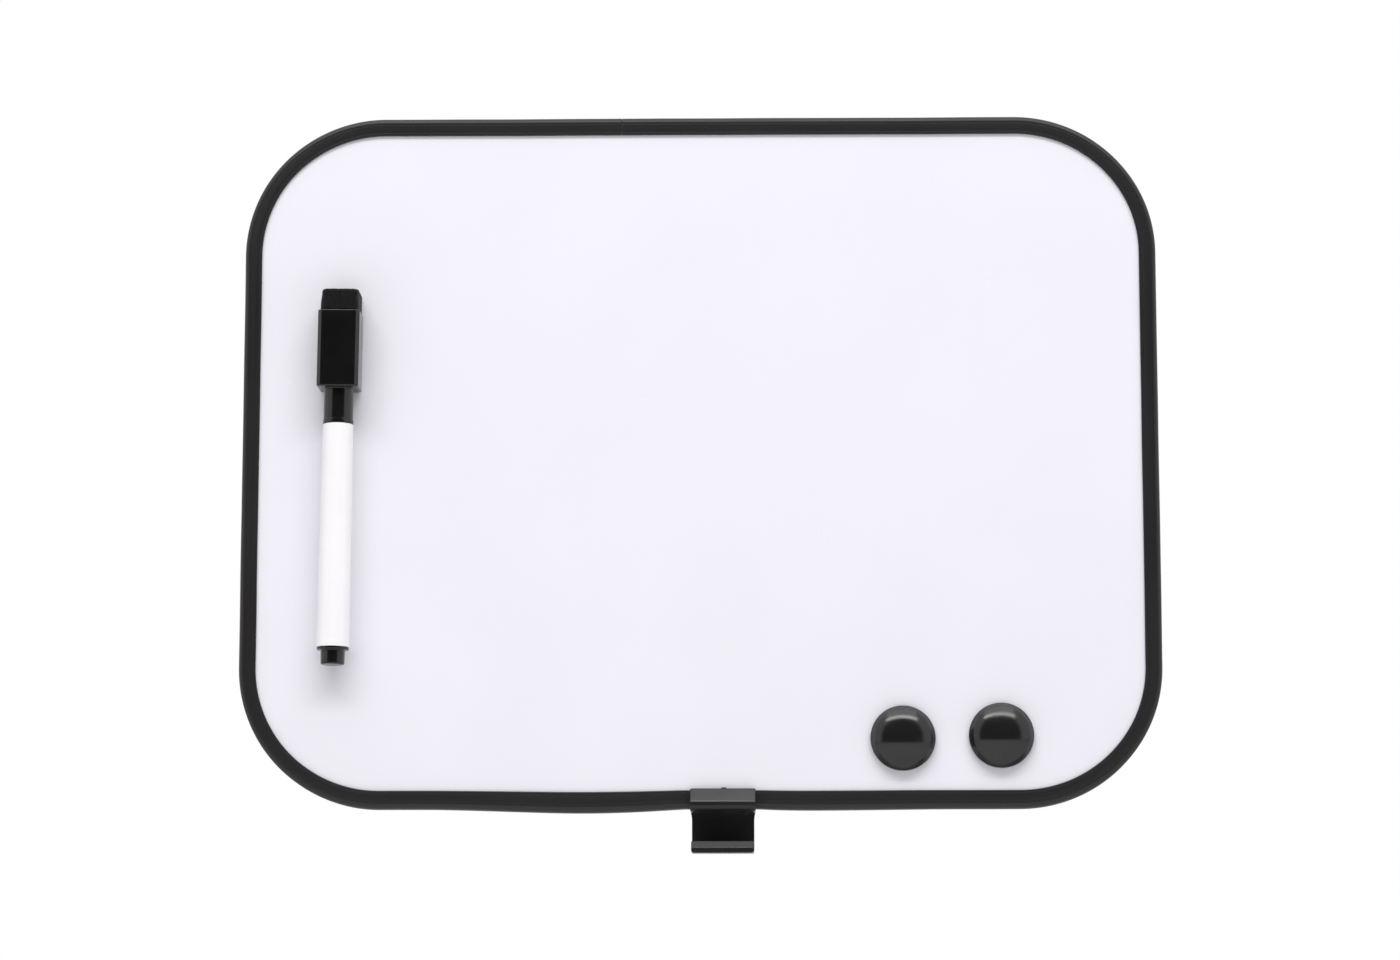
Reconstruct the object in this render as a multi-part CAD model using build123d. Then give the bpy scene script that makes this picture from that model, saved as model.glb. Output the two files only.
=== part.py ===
from build123d import *
from math import cos, radians, sqrt, tan
import os

# A letter-size dry-erase board with a soft black edging, a marker clip that slides on its lower
# edge, two dome magnets and a capped marker with an eraser and a magnet in its cap.
# Millimetres. X runs right, Y runs back to the wall and Z runs up. The origin is the board's
# centre on the wall plane. A value named rear or front is a distance out from that plane.

# Board panel
BOARD_WIDTH = 280.0
BOARD_HEIGHT = 213.6
CORNER_RADIUS = 43.0
PAD_THICKNESS = 3.0
LINER_THICKNESS = 0.2
BACKING_THICKNESS = 0.4
CORE_THICKNESS = 3.0
SHEET_THICKNESS = 0.4

# Edging: a channel of soft plastic round the panel's edge
EDGING_FACE = 5.5
EDGING_WALL = 1.0
EDGING_ROUND = 0.9
LIP_ROUND = 0.35
EDGE_GAP = 0.7
SEAM_X = -23.9
SEAM_GAP = 0.12
JOINER_LENGTH = 53.0
JOINER_THICKNESS = 0.6
JOINER_PLAY = 0.1

# Foam mounting pads
PAD_SIZE = 25.4
PAD_ROUND = 1.5
PAD_SIDE_INSET = 35.0
PAD_END_INSET = 30.8

# Marker clip
CLIP_X = 7.1
CLIP_WALL = 1.0
LEG_ANGLE = 27.5
LIP_ANGLE = 40.0
CLIP_PLAY = 0.15
CLIP_WIDTH = 19.8
CRADLE_WIDTH = 18.9
FRONT_LEG_HEIGHT = 5.95
REAR_LEG_HEIGHT = 9.9
CRADLE_DEPTH = 12.0
CRADLE_DROP = 11.7
LIP_HEIGHT = 3.65
LIP_FACE_HEIGHT = 1.55
LIP_FACE_ROUND = 1.2
LIP_FOOT_ROUND = 0.3
CLIP_BEND = 1.1
CLIP_CORNER = 0.8
CLIP_CHAMFER = 0.4
TIP_ROUND = 0.25
GATE_WIDTH = 1.6
GATE_HEIGHT = 0.3

# Dome magnets: each one's centre, in from the board's right side and up from its lower edge
MAGNET_INSETS = {"left_magnet": (78.5, 21.1), "right_magnet": (48.8, 21.9)}
MAGNET_RADIUS = 9.85
MAGNET_BASE = 1.9
MAGNET_SHOULDER_RADIUS = 8.5
MAGNET_SHOULDER_HEIGHT = 3.62
MAGNET_HEIGHT = 6.2
DISC_RADIUS = 7.5
DISC_THICKNESS = 2.6
DISC_PLAY = 0.05

# Marker, capped, standing upright against the board
MARKER_INSET = 29.9
MARKER_TILT = 0.6
SHOULDER_Z = 9.9
BARREL_LENGTH = 68.3
BARREL_TOP_RADIUS = 4.65
BARREL_BOTTOM_RADIUS = 5.05
BARREL_WALL = 0.9
FIT_PLAY = 0.05

# Marker's cap
CAP_WIDTH = 12.7
CAP_DEPTH = 13.0
CAP_BLOCK_LENGTH = 23.8
CAP_CHAMFER = 1.1
CAP_ROUND = 0.5
SKIRT_LENGTH = 10.9
SKIRT_RADIUS = 4.5
SKIRT_FLARE_RADIUS = 4.65
SKIRT_FLARE_LENGTH = 1.4
CAP_BORE_PLAY = 0.1
CAP_BORE_LENGTH = 28.7
SOCKET_DEPTH = 3.0
SOCKET_WALL = 0.8

# Eraser and the magnet in the cap's back
ERASER_WALL_PLAY = 0.05
ERASER_RISE = 6.5
ERASER_BULGE = 0.5
ERASER_ROUND = 0.9
CAP_MAGNET_RADIUS = 4.0
CAP_MAGNET_THICKNESS = 1.6
CAP_MAGNET_DROP = 12.0

# Marker's nose, nib and ink store
NOSE_RADIUS = 3.4
NOSE_COLLAR_LENGTH = 14.0
NOSE_CONE_LENGTH = 5.0
NOSE_TIP_RADIUS = 2.5
NOSE_STUB_LENGTH = 8.0
NIB_RADIUS = 1.9
NIB_STANDOUT = 5.5
NIB_SOAK_LENGTH = 4.0
STORE_GAP = 2.3
STORE_PLAY = 0.2
WRAP_THICKNESS = 0.1

# Marker's end plug
PLUG_FLANGE_RADIUS = 4.9
PLUG_FLANGE_THICKNESS = 0.9
PLUG_FLANGE_ROUND = 0.4
PLUG_KNOB_RADIUS = 3.7
PLUG_KNOB_TAPER = 0.1
PLUG_KNOB_LENGTH = 4.4
PLUG_KNOB_ROUND = 0.5
PLUG_STUB_LENGTH = 6.0
PLUG_STUB_WALL = 0.8

# Layers out from the wall plane
pad_rear = LINER_THICKNESS
backing_rear = pad_rear + PAD_THICKNESS
core_rear = backing_rear + BACKING_THICKNESS
sheet_rear = core_rear + CORE_THICKNESS
sheet_front = sheet_rear + SHEET_THICKNESS
edging_rear = backing_rear - EDGING_WALL
edging_front = sheet_front + EDGING_WALL

# Panel edge and clip levels
panel_inset = EDGING_WALL + EDGE_GAP
rail_bottom = -BOARD_HEIGHT / 2
web_top = rail_bottom - CLIP_PLAY
web_bottom = web_top - CLIP_WALL

# Marker and pad places
marker_x = MARKER_INSET - BOARD_WIDTH / 2
pad_x = BOARD_WIDTH / 2 - PAD_SIDE_INSET
pad_z = BOARD_HEIGHT / 2 - PAD_END_INSET

# Marker levels
marker_axis = sheet_front + CAP_DEPTH / 2
barrel_bottom = SHOULDER_Z - BARREL_LENGTH
barrel_bore = BARREL_TOP_RADIUS - BARREL_WALL
skirt_top = SHOULDER_Z + SKIRT_LENGTH
cap_top = skirt_top + CAP_BLOCK_LENGTH
socket_floor = cap_top - SOCKET_DEPTH
cone_foot = SHOULDER_Z + NOSE_COLLAR_LENGTH
nose_tip = cone_foot + NOSE_CONE_LENGTH
stub_bottom = SHOULDER_Z - NOSE_STUB_LENGTH
store_top = stub_bottom
store_bottom = barrel_bottom + PLUG_STUB_LENGTH + STORE_GAP


def slab(width, height, radius, rear, front):
    """A round-cornered plate centred on the board, between two distances from the wall."""
    outline = Plane.XZ.offset(rear) * RectangleRounded(width, height, radius)
    return extrude(outline, front - rear)


def turned(points):
    """A solid of revolution about Z from a closed list of (radius, height) corners."""
    section = Plane.XZ * make_face(Polyline(*points, close=True))
    return revolve(section, Axis.Z)


def at_marker(solid):
    """Moves a solid made on the Z axis to the marker's axis, which leans a little to the right."""
    return Pos(marker_x, -marker_axis, 0) * Rot(0, MARKER_TILT, 0) * solid


def facing_front(solid, x, rear, z):
    """Turns a solid made along Z to point away from the wall and sets it at a place."""
    return Pos(x, -rear, z) * Rot(90, 0, 0) * solid


def rings(solid, index):
    """The circular edges at one level of a turned solid, counted from below."""
    return solid.edges().filter_by(GeomType.CIRCLE).group_by(Axis.Z)[index]


def panel_layer(rear, front):
    """One sheet of the panel: the board's outline, drawn in by the edging and its gap."""
    width = BOARD_WIDTH - 2 * panel_inset
    height = BOARD_HEIGHT - 2 * panel_inset
    return slab(width, height, CORNER_RADIUS - panel_inset, rear, front)


def edge_frame():
    """The channel strip bent round the panel, with its butt seam in the top run."""
    body = slab(BOARD_WIDTH, BOARD_HEIGHT, CORNER_RADIUS, edging_rear, edging_front)
    front_and_rear = body.faces().sort_by(Axis.Y)[0].edges() + body.faces().sort_by(Axis.Y)[-1].edges()
    body = fillet(front_and_rear, EDGING_ROUND)
    channel = slab(
        BOARD_WIDTH - 2 * EDGING_WALL,
        BOARD_HEIGHT - 2 * EDGING_WALL,
        CORNER_RADIUS - EDGING_WALL,
        backing_rear,
        sheet_front,
    )
    window = slab(
        BOARD_WIDTH - 2 * EDGING_FACE,
        BOARD_HEIGHT - 2 * EDGING_FACE,
        CORNER_RADIUS - EDGING_FACE,
        edging_rear,
        edging_front,
    )
    ring = body - window
    lip_edges = ring.faces().sort_by(Axis.Y)[0].inner_wires()[0].edges()
    ring = fillet(lip_edges, LIP_ROUND)
    ring = ring - channel
    seam_height = EDGING_FACE * 2
    seam = Pos(SEAM_X, -edging_front / 2, BOARD_HEIGHT / 2) * Box(SEAM_GAP, edging_front * 2, seam_height)
    return ring - seam


def frame_joiner():
    """The thin tongue inside the channel that bridges the seam."""
    depth = sheet_front - backing_rear - 2 * JOINER_PLAY
    middle = (sheet_front + backing_rear) / 2
    height = BOARD_HEIGHT / 2 - EDGING_WALL - JOINER_THICKNESS / 2
    return Pos(SEAM_X, -middle, height) * Box(JOINER_LENGTH, depth, JOINER_THICKNESS)


def pad_square(rear, front):
    """One square of foam or liner, centred on the board."""
    return slab(PAD_SIZE, PAD_SIZE, PAD_ROUND, rear, front)


def clip_outline():
    """The clip's side view: a hook over the edging above a trough for the marker.

    Drawn on the YZ plane, where the first coordinate is the distance out from the wall. The front
    leg and the lip lean in towards their tips, as they do to grip the edging and the marker.
    """
    rear_face = edging_rear - CLIP_PLAY - CLIP_WALL
    wall_face = rear_face + CLIP_WALL
    leg_inner = edging_front + CLIP_PLAY
    leg_outer = leg_inner + CLIP_WALL
    floor_top = web_bottom - CRADLE_DROP
    floor_bottom = floor_top - CLIP_WALL
    lip_inner = wall_face + CRADLE_DEPTH
    lip_outer = lip_inner + CLIP_WALL
    lip_top = floor_bottom + LIP_HEIGHT
    lip_face_top = floor_bottom + LIP_FACE_HEIGHT
    lip_lean = (lip_top - lip_face_top) * tan(radians(LIP_ANGLE))
    leg_top = rail_bottom + FRONT_LEG_HEIGHT
    outer_lean = (leg_top - web_bottom) * tan(radians(LEG_ANGLE))
    inner_lean = (leg_top - web_top) * tan(radians(LEG_ANGLE))
    corners = [
        (rear_face, rail_bottom + REAR_LEG_HEIGHT),
        (rear_face, floor_bottom),
        (lip_outer, floor_bottom),
        (lip_outer, lip_face_top),
        (lip_outer - lip_lean, lip_top),
        (lip_inner - lip_lean, lip_top),
        (lip_inner, floor_top),
        (wall_face, floor_top),
        (wall_face, web_bottom),
        (leg_outer + outer_lean, web_bottom),
        (leg_outer, leg_top),
        (leg_inner, leg_top),
        (leg_inner + inner_lean, web_top),
        (wall_face, web_top),
        (wall_face, rail_bottom + REAR_LEG_HEIGHT),
    ]
    rounds = {
        0: TIP_ROUND,
        1: CLIP_BEND + CLIP_WALL,
        2: LIP_FOOT_ROUND,
        3: LIP_FACE_ROUND,
        4: TIP_ROUND,
        5: TIP_ROUND,
        6: CLIP_BEND,
        7: CLIP_BEND,
        8: TIP_ROUND,
        9: CLIP_BEND + CLIP_WALL,
        10: TIP_ROUND,
        11: TIP_ROUND,
        12: CLIP_BEND,
        14: TIP_ROUND,
    }
    return corners, rounds


def marker_clip():
    """The one-piece clip: a wide hook in front, a narrower wall and trough below it."""
    corners, rounds = clip_outline()
    face = make_face(Polyline(*corners, close=True))
    for index, radius in rounds.items():
        x, y = corners[index]
        vertex = face.vertices().sort_by_distance((x, y, 0))[0]
        face = fillet(vertex, radius)
    # YZ with its first axis turned to point away from the wall
    side = Plane(origin=(0, 0, 0), x_dir=(0, -1, 0), z_dir=(-1, 0, 0))
    hook_and_trough = Pos(CLIP_X, 0, 0) * extrude(side * face, CLIP_WIDTH / 2, both=True)
    top = rail_bottom + REAR_LEG_HEIGHT
    bottom = corners[1][1]
    lip_outer = corners[2][0]
    # Trims the sides of the wall and trough, with round lower corners
    trough_height = web_bottom - bottom
    trough_centre = (web_bottom + bottom) / 2
    front_view = RectangleRounded(CRADLE_WIDTH, trough_height * 2, CLIP_CORNER)
    trough_block = extrude(
        Plane.XZ * Pos(CLIP_X, trough_centre + trough_height / 2) * front_view, lip_outer * 2, both=True
    )
    hook_block = Pos(CLIP_X, -lip_outer / 2, (top + web_bottom) / 2) * Box(
        CLIP_WIDTH, lip_outer * 2, top - web_bottom
    )
    clip = hook_and_trough & (trough_block + hook_block)
    # Cuts the front leg's side edges, along its slope
    foot_out, foot_height = corners[9]
    tip_out, tip_height = corners[10]
    slope_length = (tip_height - foot_height) / cos(radians(LEG_ANGLE))
    wedge_side = CLIP_CHAMFER * sqrt(2)
    wedge = Rot(-LEG_ANGLE, 0, 0) * Rot(0, 0, 45) * Box(wedge_side, wedge_side, slope_length)
    for side in (-1, 1):
        clip = clip - Pos(
            CLIP_X + side * CLIP_WIDTH / 2, -(foot_out + tip_out) / 2, (foot_height + tip_height) / 2
        ) * wedge
    gate_middle = (tip_out + corners[11][0]) / 2
    gate = Pos(CLIP_X, -gate_middle, tip_height) * Box(GATE_WIDTH, CLIP_WALL / 2, GATE_HEIGHT * 2)
    return clip + gate


def magnet_cap():
    """The moulded dome, made pointing up: a straight base, a sloped rim and a low crown."""
    start = (0, MAGNET_HEIGHT)
    shoulder = (MAGNET_SHOULDER_RADIUS, MAGNET_SHOULDER_HEIGHT)
    crown = RadiusArc(start, shoulder, crown_radius())
    recess = DISC_THICKNESS + DISC_PLAY
    bore = DISC_RADIUS + DISC_PLAY
    walls = Polyline(
        shoulder,
        (MAGNET_RADIUS, MAGNET_BASE),
        (MAGNET_RADIUS, 0),
        (bore, 0),
        (bore, recess),
        (0, recess),
        start,
    )
    section = Plane.XZ * make_face(crown + walls)
    return revolve(section, Axis.Z)


def crown_radius():
    """Radius of the arc that rises from the shoulder to the dome's top, level at the top."""
    rise = MAGNET_HEIGHT - MAGNET_SHOULDER_HEIGHT
    return (MAGNET_SHOULDER_RADIUS ** 2 + rise ** 2) / (2 * rise)


def magnet_disc():
    """The flat ferrite magnet in the dome's recess, made pointing up."""
    disc = turned([(0, 0), (DISC_RADIUS, 0), (DISC_RADIUS, DISC_THICKNESS), (0, DISC_THICKNESS)])
    return disc


def cap_solid():
    """The marker's cap: a square block with a round skirt, bored from below."""
    middle = (skirt_top + cap_top) / 2
    block = Pos(0, 0, middle) * Box(CAP_WIDTH, CAP_DEPTH, CAP_BLOCK_LENGTH)
    block = chamfer(block.edges().filter_by(Axis.Z), CAP_CHAMFER)
    ends = block.faces().sort_by(Axis.Z)[0].edges() + block.faces().sort_by(Axis.Z)[-1].edges()
    block = fillet(ends, CAP_ROUND)
    flare_top = SHOULDER_Z + SKIRT_FLARE_LENGTH
    skirt = turned([
        (0, SHOULDER_Z),
        (SKIRT_FLARE_RADIUS, SHOULDER_Z),
        (SKIRT_FLARE_RADIUS, SHOULDER_Z + SKIRT_FLARE_LENGTH / 2),
        (SKIRT_RADIUS, flare_top),
        (SKIRT_RADIUS, skirt_top + CAP_ROUND),
        (0, skirt_top + CAP_ROUND),
    ])
    bore_radius = NOSE_RADIUS + CAP_BORE_PLAY
    bore_top = SHOULDER_Z + CAP_BORE_LENGTH
    bore = turned([(0, SHOULDER_Z), (bore_radius, SHOULDER_Z), (bore_radius, bore_top), (0, bore_top)])
    socket_width = CAP_WIDTH - 2 * SOCKET_WALL
    socket_length = CAP_DEPTH - 2 * SOCKET_WALL
    socket_middle = (socket_floor + cap_top) / 2
    socket = Pos(0, 0, socket_middle) * Box(socket_width, socket_length, SOCKET_DEPTH)
    magnet_z = cap_top - CAP_MAGNET_DROP
    pocket_radius = CAP_MAGNET_RADIUS + FIT_PLAY
    pocket_depth = CAP_MAGNET_THICKNESS + FIT_PLAY
    pocket = Cylinder(pocket_radius, pocket_depth, align=(Align.CENTER, Align.CENTER, Align.MIN))
    pocket = Pos(0, CAP_DEPTH / 2, magnet_z) * Rot(90, 0, 0) * pocket
    return block + skirt - bore - socket - pocket


def cap_magnet():
    """The small disc that holds the cap on the board."""
    disc = Cylinder(CAP_MAGNET_RADIUS, CAP_MAGNET_THICKNESS, align=(Align.CENTER, Align.CENTER, Align.MIN))
    return Pos(0, CAP_DEPTH / 2, cap_top - CAP_MAGNET_DROP) * Rot(90, 0, 0) * disc


def eraser_pad():
    """The block of felt glued in the cap's socket, standing out above it."""
    foot_width = CAP_WIDTH - 2 * SOCKET_WALL - 2 * ERASER_WALL_PLAY
    foot_length = CAP_DEPTH - 2 * SOCKET_WALL - 2 * ERASER_WALL_PLAY
    foot_bottom = socket_floor + ERASER_WALL_PLAY
    foot_height = cap_top - foot_bottom
    foot = Pos(0, 0, foot_bottom + foot_height / 2) * Box(foot_width, foot_length, foot_height)
    head = Pos(0, 0, cap_top + ERASER_RISE / 2) * Box(
        foot_width + 2 * ERASER_BULGE, foot_length + 2 * ERASER_BULGE, ERASER_RISE
    )
    head = fillet(head.edges().filter_by(Axis.Z), ERASER_ROUND)
    head = fillet(head.faces().sort_by(Axis.Z)[-1].edges(), ERASER_ROUND)
    return foot + head


def marker_barrel():
    """The tapered tube, open at both ends."""
    return turned([
        (barrel_bore, SHOULDER_Z),
        (BARREL_TOP_RADIUS, SHOULDER_Z),
        (BARREL_BOTTOM_RADIUS, barrel_bottom),
        (barrel_bore, barrel_bottom),
    ])


def marker_nose():
    """The nose that the cap slides over: a stub in the barrel, a collar and a cone."""
    stub_radius = barrel_bore - FIT_PLAY
    nib_bore = NIB_RADIUS + FIT_PLAY
    return turned([
        (nib_bore, stub_bottom),
        (stub_radius, stub_bottom),
        (stub_radius, SHOULDER_Z),
        (NOSE_RADIUS, SHOULDER_Z),
        (NOSE_RADIUS, cone_foot),
        (NOSE_TIP_RADIUS, nose_tip),
        (nib_bore, nose_tip),
    ])


def marker_nib():
    """The pressed-fibre nib with its bullet end, reaching down into the ink store."""
    bottom = store_top - NIB_SOAK_LENGTH
    top = nose_tip + NIB_STANDOUT
    nib = turned([(0, bottom), (NIB_RADIUS, bottom), (NIB_RADIUS, top), (0, top)])
    return fillet(rings(nib, -1), NIB_RADIUS * 0.9)


def ink_store():
    """The fibre rod that holds the ink, hollowed where the nib pushes in."""
    radius = barrel_bore - STORE_PLAY - WRAP_THICKNESS
    bore = NIB_RADIUS + FIT_PLAY
    well = store_top - NIB_SOAK_LENGTH - FIT_PLAY
    return turned([
        (0, store_bottom),
        (radius, store_bottom),
        (radius, store_top - FIT_PLAY),
        (bore, store_top - FIT_PLAY),
        (bore, well),
        (0, well),
    ])


def store_wrap():
    """The plastic film round the ink store."""
    outer = barrel_bore - STORE_PLAY
    inner = outer - WRAP_THICKNESS
    top = store_top - FIT_PLAY
    return turned([(inner, store_bottom), (outer, store_bottom), (outer, top), (inner, top)])


def end_plug():
    """The plug that closes the barrel: a hollow stub, a flange and a small knob."""
    stub_radius = barrel_bore - FIT_PLAY
    stub_inner = stub_radius - PLUG_STUB_WALL
    stub_top = barrel_bottom + PLUG_STUB_LENGTH
    flange_bottom = barrel_bottom - PLUG_FLANGE_THICKNESS
    knob_bottom = flange_bottom - PLUG_KNOB_LENGTH
    plug = turned([
        (0, knob_bottom),
        (PLUG_KNOB_RADIUS - PLUG_KNOB_TAPER, knob_bottom),
        (PLUG_KNOB_RADIUS, flange_bottom),
        (PLUG_FLANGE_RADIUS, flange_bottom),
        (PLUG_FLANGE_RADIUS, barrel_bottom),
        (stub_radius, barrel_bottom),
        (stub_radius, stub_top),
        (stub_inner, stub_top),
        (stub_inner, barrel_bottom),
        (0, barrel_bottom),
    ])
    plug = fillet(rings(plug, 0), PLUG_KNOB_ROUND)
    flange_edge = [
        edge
        for edge in plug.edges().filter_by(GeomType.CIRCLE)
        if abs(edge.radius - PLUG_FLANGE_RADIUS) < 0.001 and abs(edge.center().Z - flange_bottom) < 0.001
    ]
    return fillet(flange_edge, PLUG_FLANGE_ROUND)


def save(name, solid):
    """Writes one piece to its own file."""
    solid.label = name
    export_step(solid, f"parts/{name}.step")


def main():
    os.makedirs("parts", exist_ok=True)
    save("backing_sheet", panel_layer(backing_rear, core_rear))
    save("core_panel", panel_layer(core_rear, sheet_rear))
    save("writing_sheet", panel_layer(sheet_rear, sheet_front))
    save("edge_frame", edge_frame())
    save("frame_joiner", frame_joiner())
    for level, z in (("top", pad_z), ("bottom", -pad_z)):
        for side, x in (("left", -pad_x), ("right", pad_x)):
            place = Pos(x, 0, z)
            save(f"{level}_{side}_pad", place * pad_square(pad_rear, backing_rear))
            save(f"{level}_{side}_liner", place * pad_square(0, pad_rear))
    save("marker_clip", marker_clip())
    for name, (inset, rise) in MAGNET_INSETS.items():
        x = BOARD_WIDTH / 2 - inset
        z = rail_bottom + rise
        save(f"{name}_cap", facing_front(magnet_cap(), x, sheet_front, z))
        save(f"{name}_disc", facing_front(magnet_disc(), x, sheet_front, z))
    save("marker_cap", at_marker(cap_solid()))
    save("cap_magnet", at_marker(cap_magnet()))
    save("eraser_pad", at_marker(eraser_pad()))
    save("marker_barrel", at_marker(marker_barrel()))
    save("marker_nose", at_marker(marker_nose()))
    save("marker_nib", at_marker(marker_nib()))
    save("ink_store", at_marker(ink_store()))
    save("store_wrap", at_marker(store_wrap()))
    save("end_plug", at_marker(end_plug()))


main()
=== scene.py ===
import bmesh
import bpy
import numpy as np
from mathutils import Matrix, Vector


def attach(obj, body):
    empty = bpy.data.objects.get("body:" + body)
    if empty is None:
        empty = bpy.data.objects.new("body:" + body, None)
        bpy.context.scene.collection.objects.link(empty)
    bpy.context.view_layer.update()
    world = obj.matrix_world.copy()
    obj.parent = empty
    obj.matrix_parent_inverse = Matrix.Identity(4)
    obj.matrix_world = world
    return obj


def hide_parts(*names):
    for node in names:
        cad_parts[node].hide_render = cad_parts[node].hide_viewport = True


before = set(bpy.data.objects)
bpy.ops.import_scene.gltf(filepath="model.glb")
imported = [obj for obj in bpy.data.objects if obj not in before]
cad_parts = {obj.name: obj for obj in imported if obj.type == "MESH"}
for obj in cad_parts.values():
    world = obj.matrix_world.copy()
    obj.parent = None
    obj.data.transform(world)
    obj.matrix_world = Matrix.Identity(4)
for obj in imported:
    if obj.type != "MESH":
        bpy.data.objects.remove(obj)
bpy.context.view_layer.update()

bl_info = {
    "name": "Whiteboard",
    "version": (1, 0, 0),
    "blender": (4, 5, 0),
    "location": "View3D > Sidebar > Whiteboard",
    "description": "Dresses a dry-erase board with its edging, clip, magnets and marker",
    "category": "Object",
}

# Shapes are worked out in millimetres as (x, out, z), where out is the distance from the wall, and
# are put into the meshes in metres as (x, -out, z). Scales of patterns are counted per metre.
MM = 0.001

# Board and edging, as the solids have them
BOARD_WIDTH = 280.0
BOARD_HEIGHT = 213.6
CORNER_RADIUS = 43.0
EDGING_REAR = 2.2
EDGING_FRONT = 8.0
CHANNEL_REAR = 3.2
SHEET_FRONT = 7.0
EDGING_FACE = 5.5
EDGING_WALL = 1.0
SEAM_X = -23.9
SEAM_GAP = 0.12
JOINER_END_X = 2.6
JOINER_MARK_DEPTH = 0.07
JOINER_MARK_WIDTH = 0.22
CROWN_HEIGHT = 0.05
GROOVE_DEPTH = 0.06
GROOVE_WIDTH = 0.16
INNER_GROOVE_INSET = 4.6
OUTER_GROOVE_INSET = 2.0
LEFT_SAG_FROM = -84.0
LEFT_SAG_TO = -4.0
RIGHT_SAG_FROM = 84.0
RIGHT_SAG_TO = 18.0
RAIL_BOTTOM = -BOARD_HEIGHT / 2

# Clip
CLIP_X = 7.1
CLIP_WIDTH = 19.8
CRADLE_WIDTH = 18.9
CLIP_WALL = 1.0
CLIP_PLAY = 0.15
LEG_ANGLE = np.radians(27.5)
LIP_ANGLE = np.radians(40.0)
FRONT_LEG_TOP = RAIL_BOTTOM + 5.95
REAR_LEG_TOP = RAIL_BOTTOM + 9.9
WEB_TOP = RAIL_BOTTOM - CLIP_PLAY
WEB_BOTTOM = WEB_TOP - CLIP_WALL
CRADLE_FLOOR = WEB_BOTTOM - 11.7
CRADLE_BOTTOM = CRADLE_FLOOR - CLIP_WALL
CRADLE_FALL = 0.55
CRADLE_DEPTH = 12.0
LIP_FACE_TOP = CRADLE_BOTTOM + 1.55
LIP_TOP = CRADLE_BOTTOM + 3.65
CLIP_REAR = EDGING_REAR - CLIP_PLAY - CLIP_WALL
HOOK_ROOT = 0.4
NARROWING_START = WEB_BOTTOM + 0.6
NARROWING_LENGTH = 2.6
CRADLE_CORNER = 0.8
LEG_CORNER = 0.35
GATE_WIDTH = 1.6
GATE_DEPTH = 0.4
GATE_HEIGHT = 0.3
GATE_ROOT = 0.4
GATE_X = CLIP_X + 0.3
GATE_CORNER = 0.12

# Magnets
MAGNET_PLACES = {"left_magnet": (61.5, -85.7), "right_magnet": (91.2, -84.9)}
MAGNET_RADIUS = 9.85
MAGNET_BASE = 1.9
MAGNET_SHOULDER_RADIUS = 8.5
MAGNET_SHOULDER_HEIGHT = 3.62
MAGNET_HEIGHT = 6.2
MAGNET_BORE = 7.55
MAGNET_RECESS = 2.65
MAGNET_CROWN_END = MAGNET_SHOULDER_RADIUS - 0.9

# Marker
MARKER_X = -110.1
MARKER_TILT = np.radians(0.6)
MARKER_OUT = 13.5
SHOULDER_Z = 9.9
BARREL_BOTTOM = -58.4
BARREL_TOP_RADIUS = 4.65
BARREL_BOTTOM_RADIUS = 5.05
BARREL_BORE = 3.75
NOSE_RADIUS = 3.4
NOSE_CONE_FOOT = 23.9
NOSE_TIP = 28.9
NOSE_TIP_RADIUS = 2.5
NIB_RADIUS = 1.9
NIB_TOP = 34.4
STUB_BOTTOM = 1.9
NIB_BOTTOM = -2.1
SKIRT_TOP = 20.8
CAP_TOP = 44.6
CAP_WIDTH = 12.7
CAP_DEPTH = 13.0
CAP_CHAMFER = 1.1
CAP_EDGE = 0.5
CAP_CORNER = 0.28
CAP_BORE = 3.5
CAP_BORE_TOP = 38.6
SKIRT_RADIUS = 4.5
SKIRT_FLARE_RADIUS = 4.65
SKIRT_FLARE_LENGTH = 1.4
SOCKET_DEPTH = 3.0
SOCKET_WALL = 0.8
FELT_RISE = 6.5
FELT_HALF_WIDTH = 5.95
FELT_HALF_DEPTH = 6.1
FELT_CORNER = 1.6
FELT_EDGE = 0.95
PLUG_FLANGE_RADIUS = 4.9
PLUG_FLANGE_THICKNESS = 0.9
PLUG_KNOB_RADIUS = 3.7
PLUG_KNOB_LENGTH = 4.4
PLUG_STUB_RADIUS = 3.7
PLUG_STUB_BORE = 2.9
PLUG_STUB_TOP = BARREL_BOTTOM + 6.0

# Foam pads
PAD_SIZE = 25.4
PAD_ROUND = 1.5
PAD_PLACES = {
    "top_left_pad": (-105.0, 76.0),
    "top_right_pad": (105.0, 76.0),
    "bottom_left_pad": (-105.0, -76.0),
    "bottom_right_pad": (105.0, -76.0),
}
PAD_REAR = 0.2
PAD_FRONT = 3.2

# Floor, flag and lamps, in metres. A lamp has its place, its width and its height.
FLOOR_HALF_WIDTH = 4.0
FLOOR_FRONT = -1.2
FLOOR_BACK = 4.0
FLAG_HALF_WIDTH = 2.4
FLAG_FOOT = -0.33
FLAG_TOP = 2.4
FLAG_Y = -1.55
FLAG_SPREAD_X = 1.85
FLAG_SPREAD_Z = 2.1
SOFTBOX = ((0.0, -0.57, 1.57), 1.9, 1.0)
KEY_STRIP = ((0.0, -0.98, 1.19), 2.0, 0.2)
UPPER_FILL = ((0.0, -1.3, 1.45), 2.2, 0.8)


class PanelSettings(bpy.types.PropertyGroup):
    """The board's flat layers."""

    coat_colour: bpy.props.FloatVectorProperty(
        name="Coat", description="Colour of the glossy writing face", subtype="COLOR",
        default=(0.86, 0.85, 0.91), min=0.0, max=1.0)
    core_colour: bpy.props.FloatVectorProperty(
        name="Core", description="Colour of the raw fibreboard", subtype="COLOR",
        default=(0.30, 0.20, 0.12), min=0.0, max=1.0)
    paper_colour: bpy.props.FloatVectorProperty(
        name="Back paper", description="Colour of the paper on the board's back", subtype="COLOR",
        default=(0.36, 0.36, 0.35), min=0.0, max=1.0)


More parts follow.
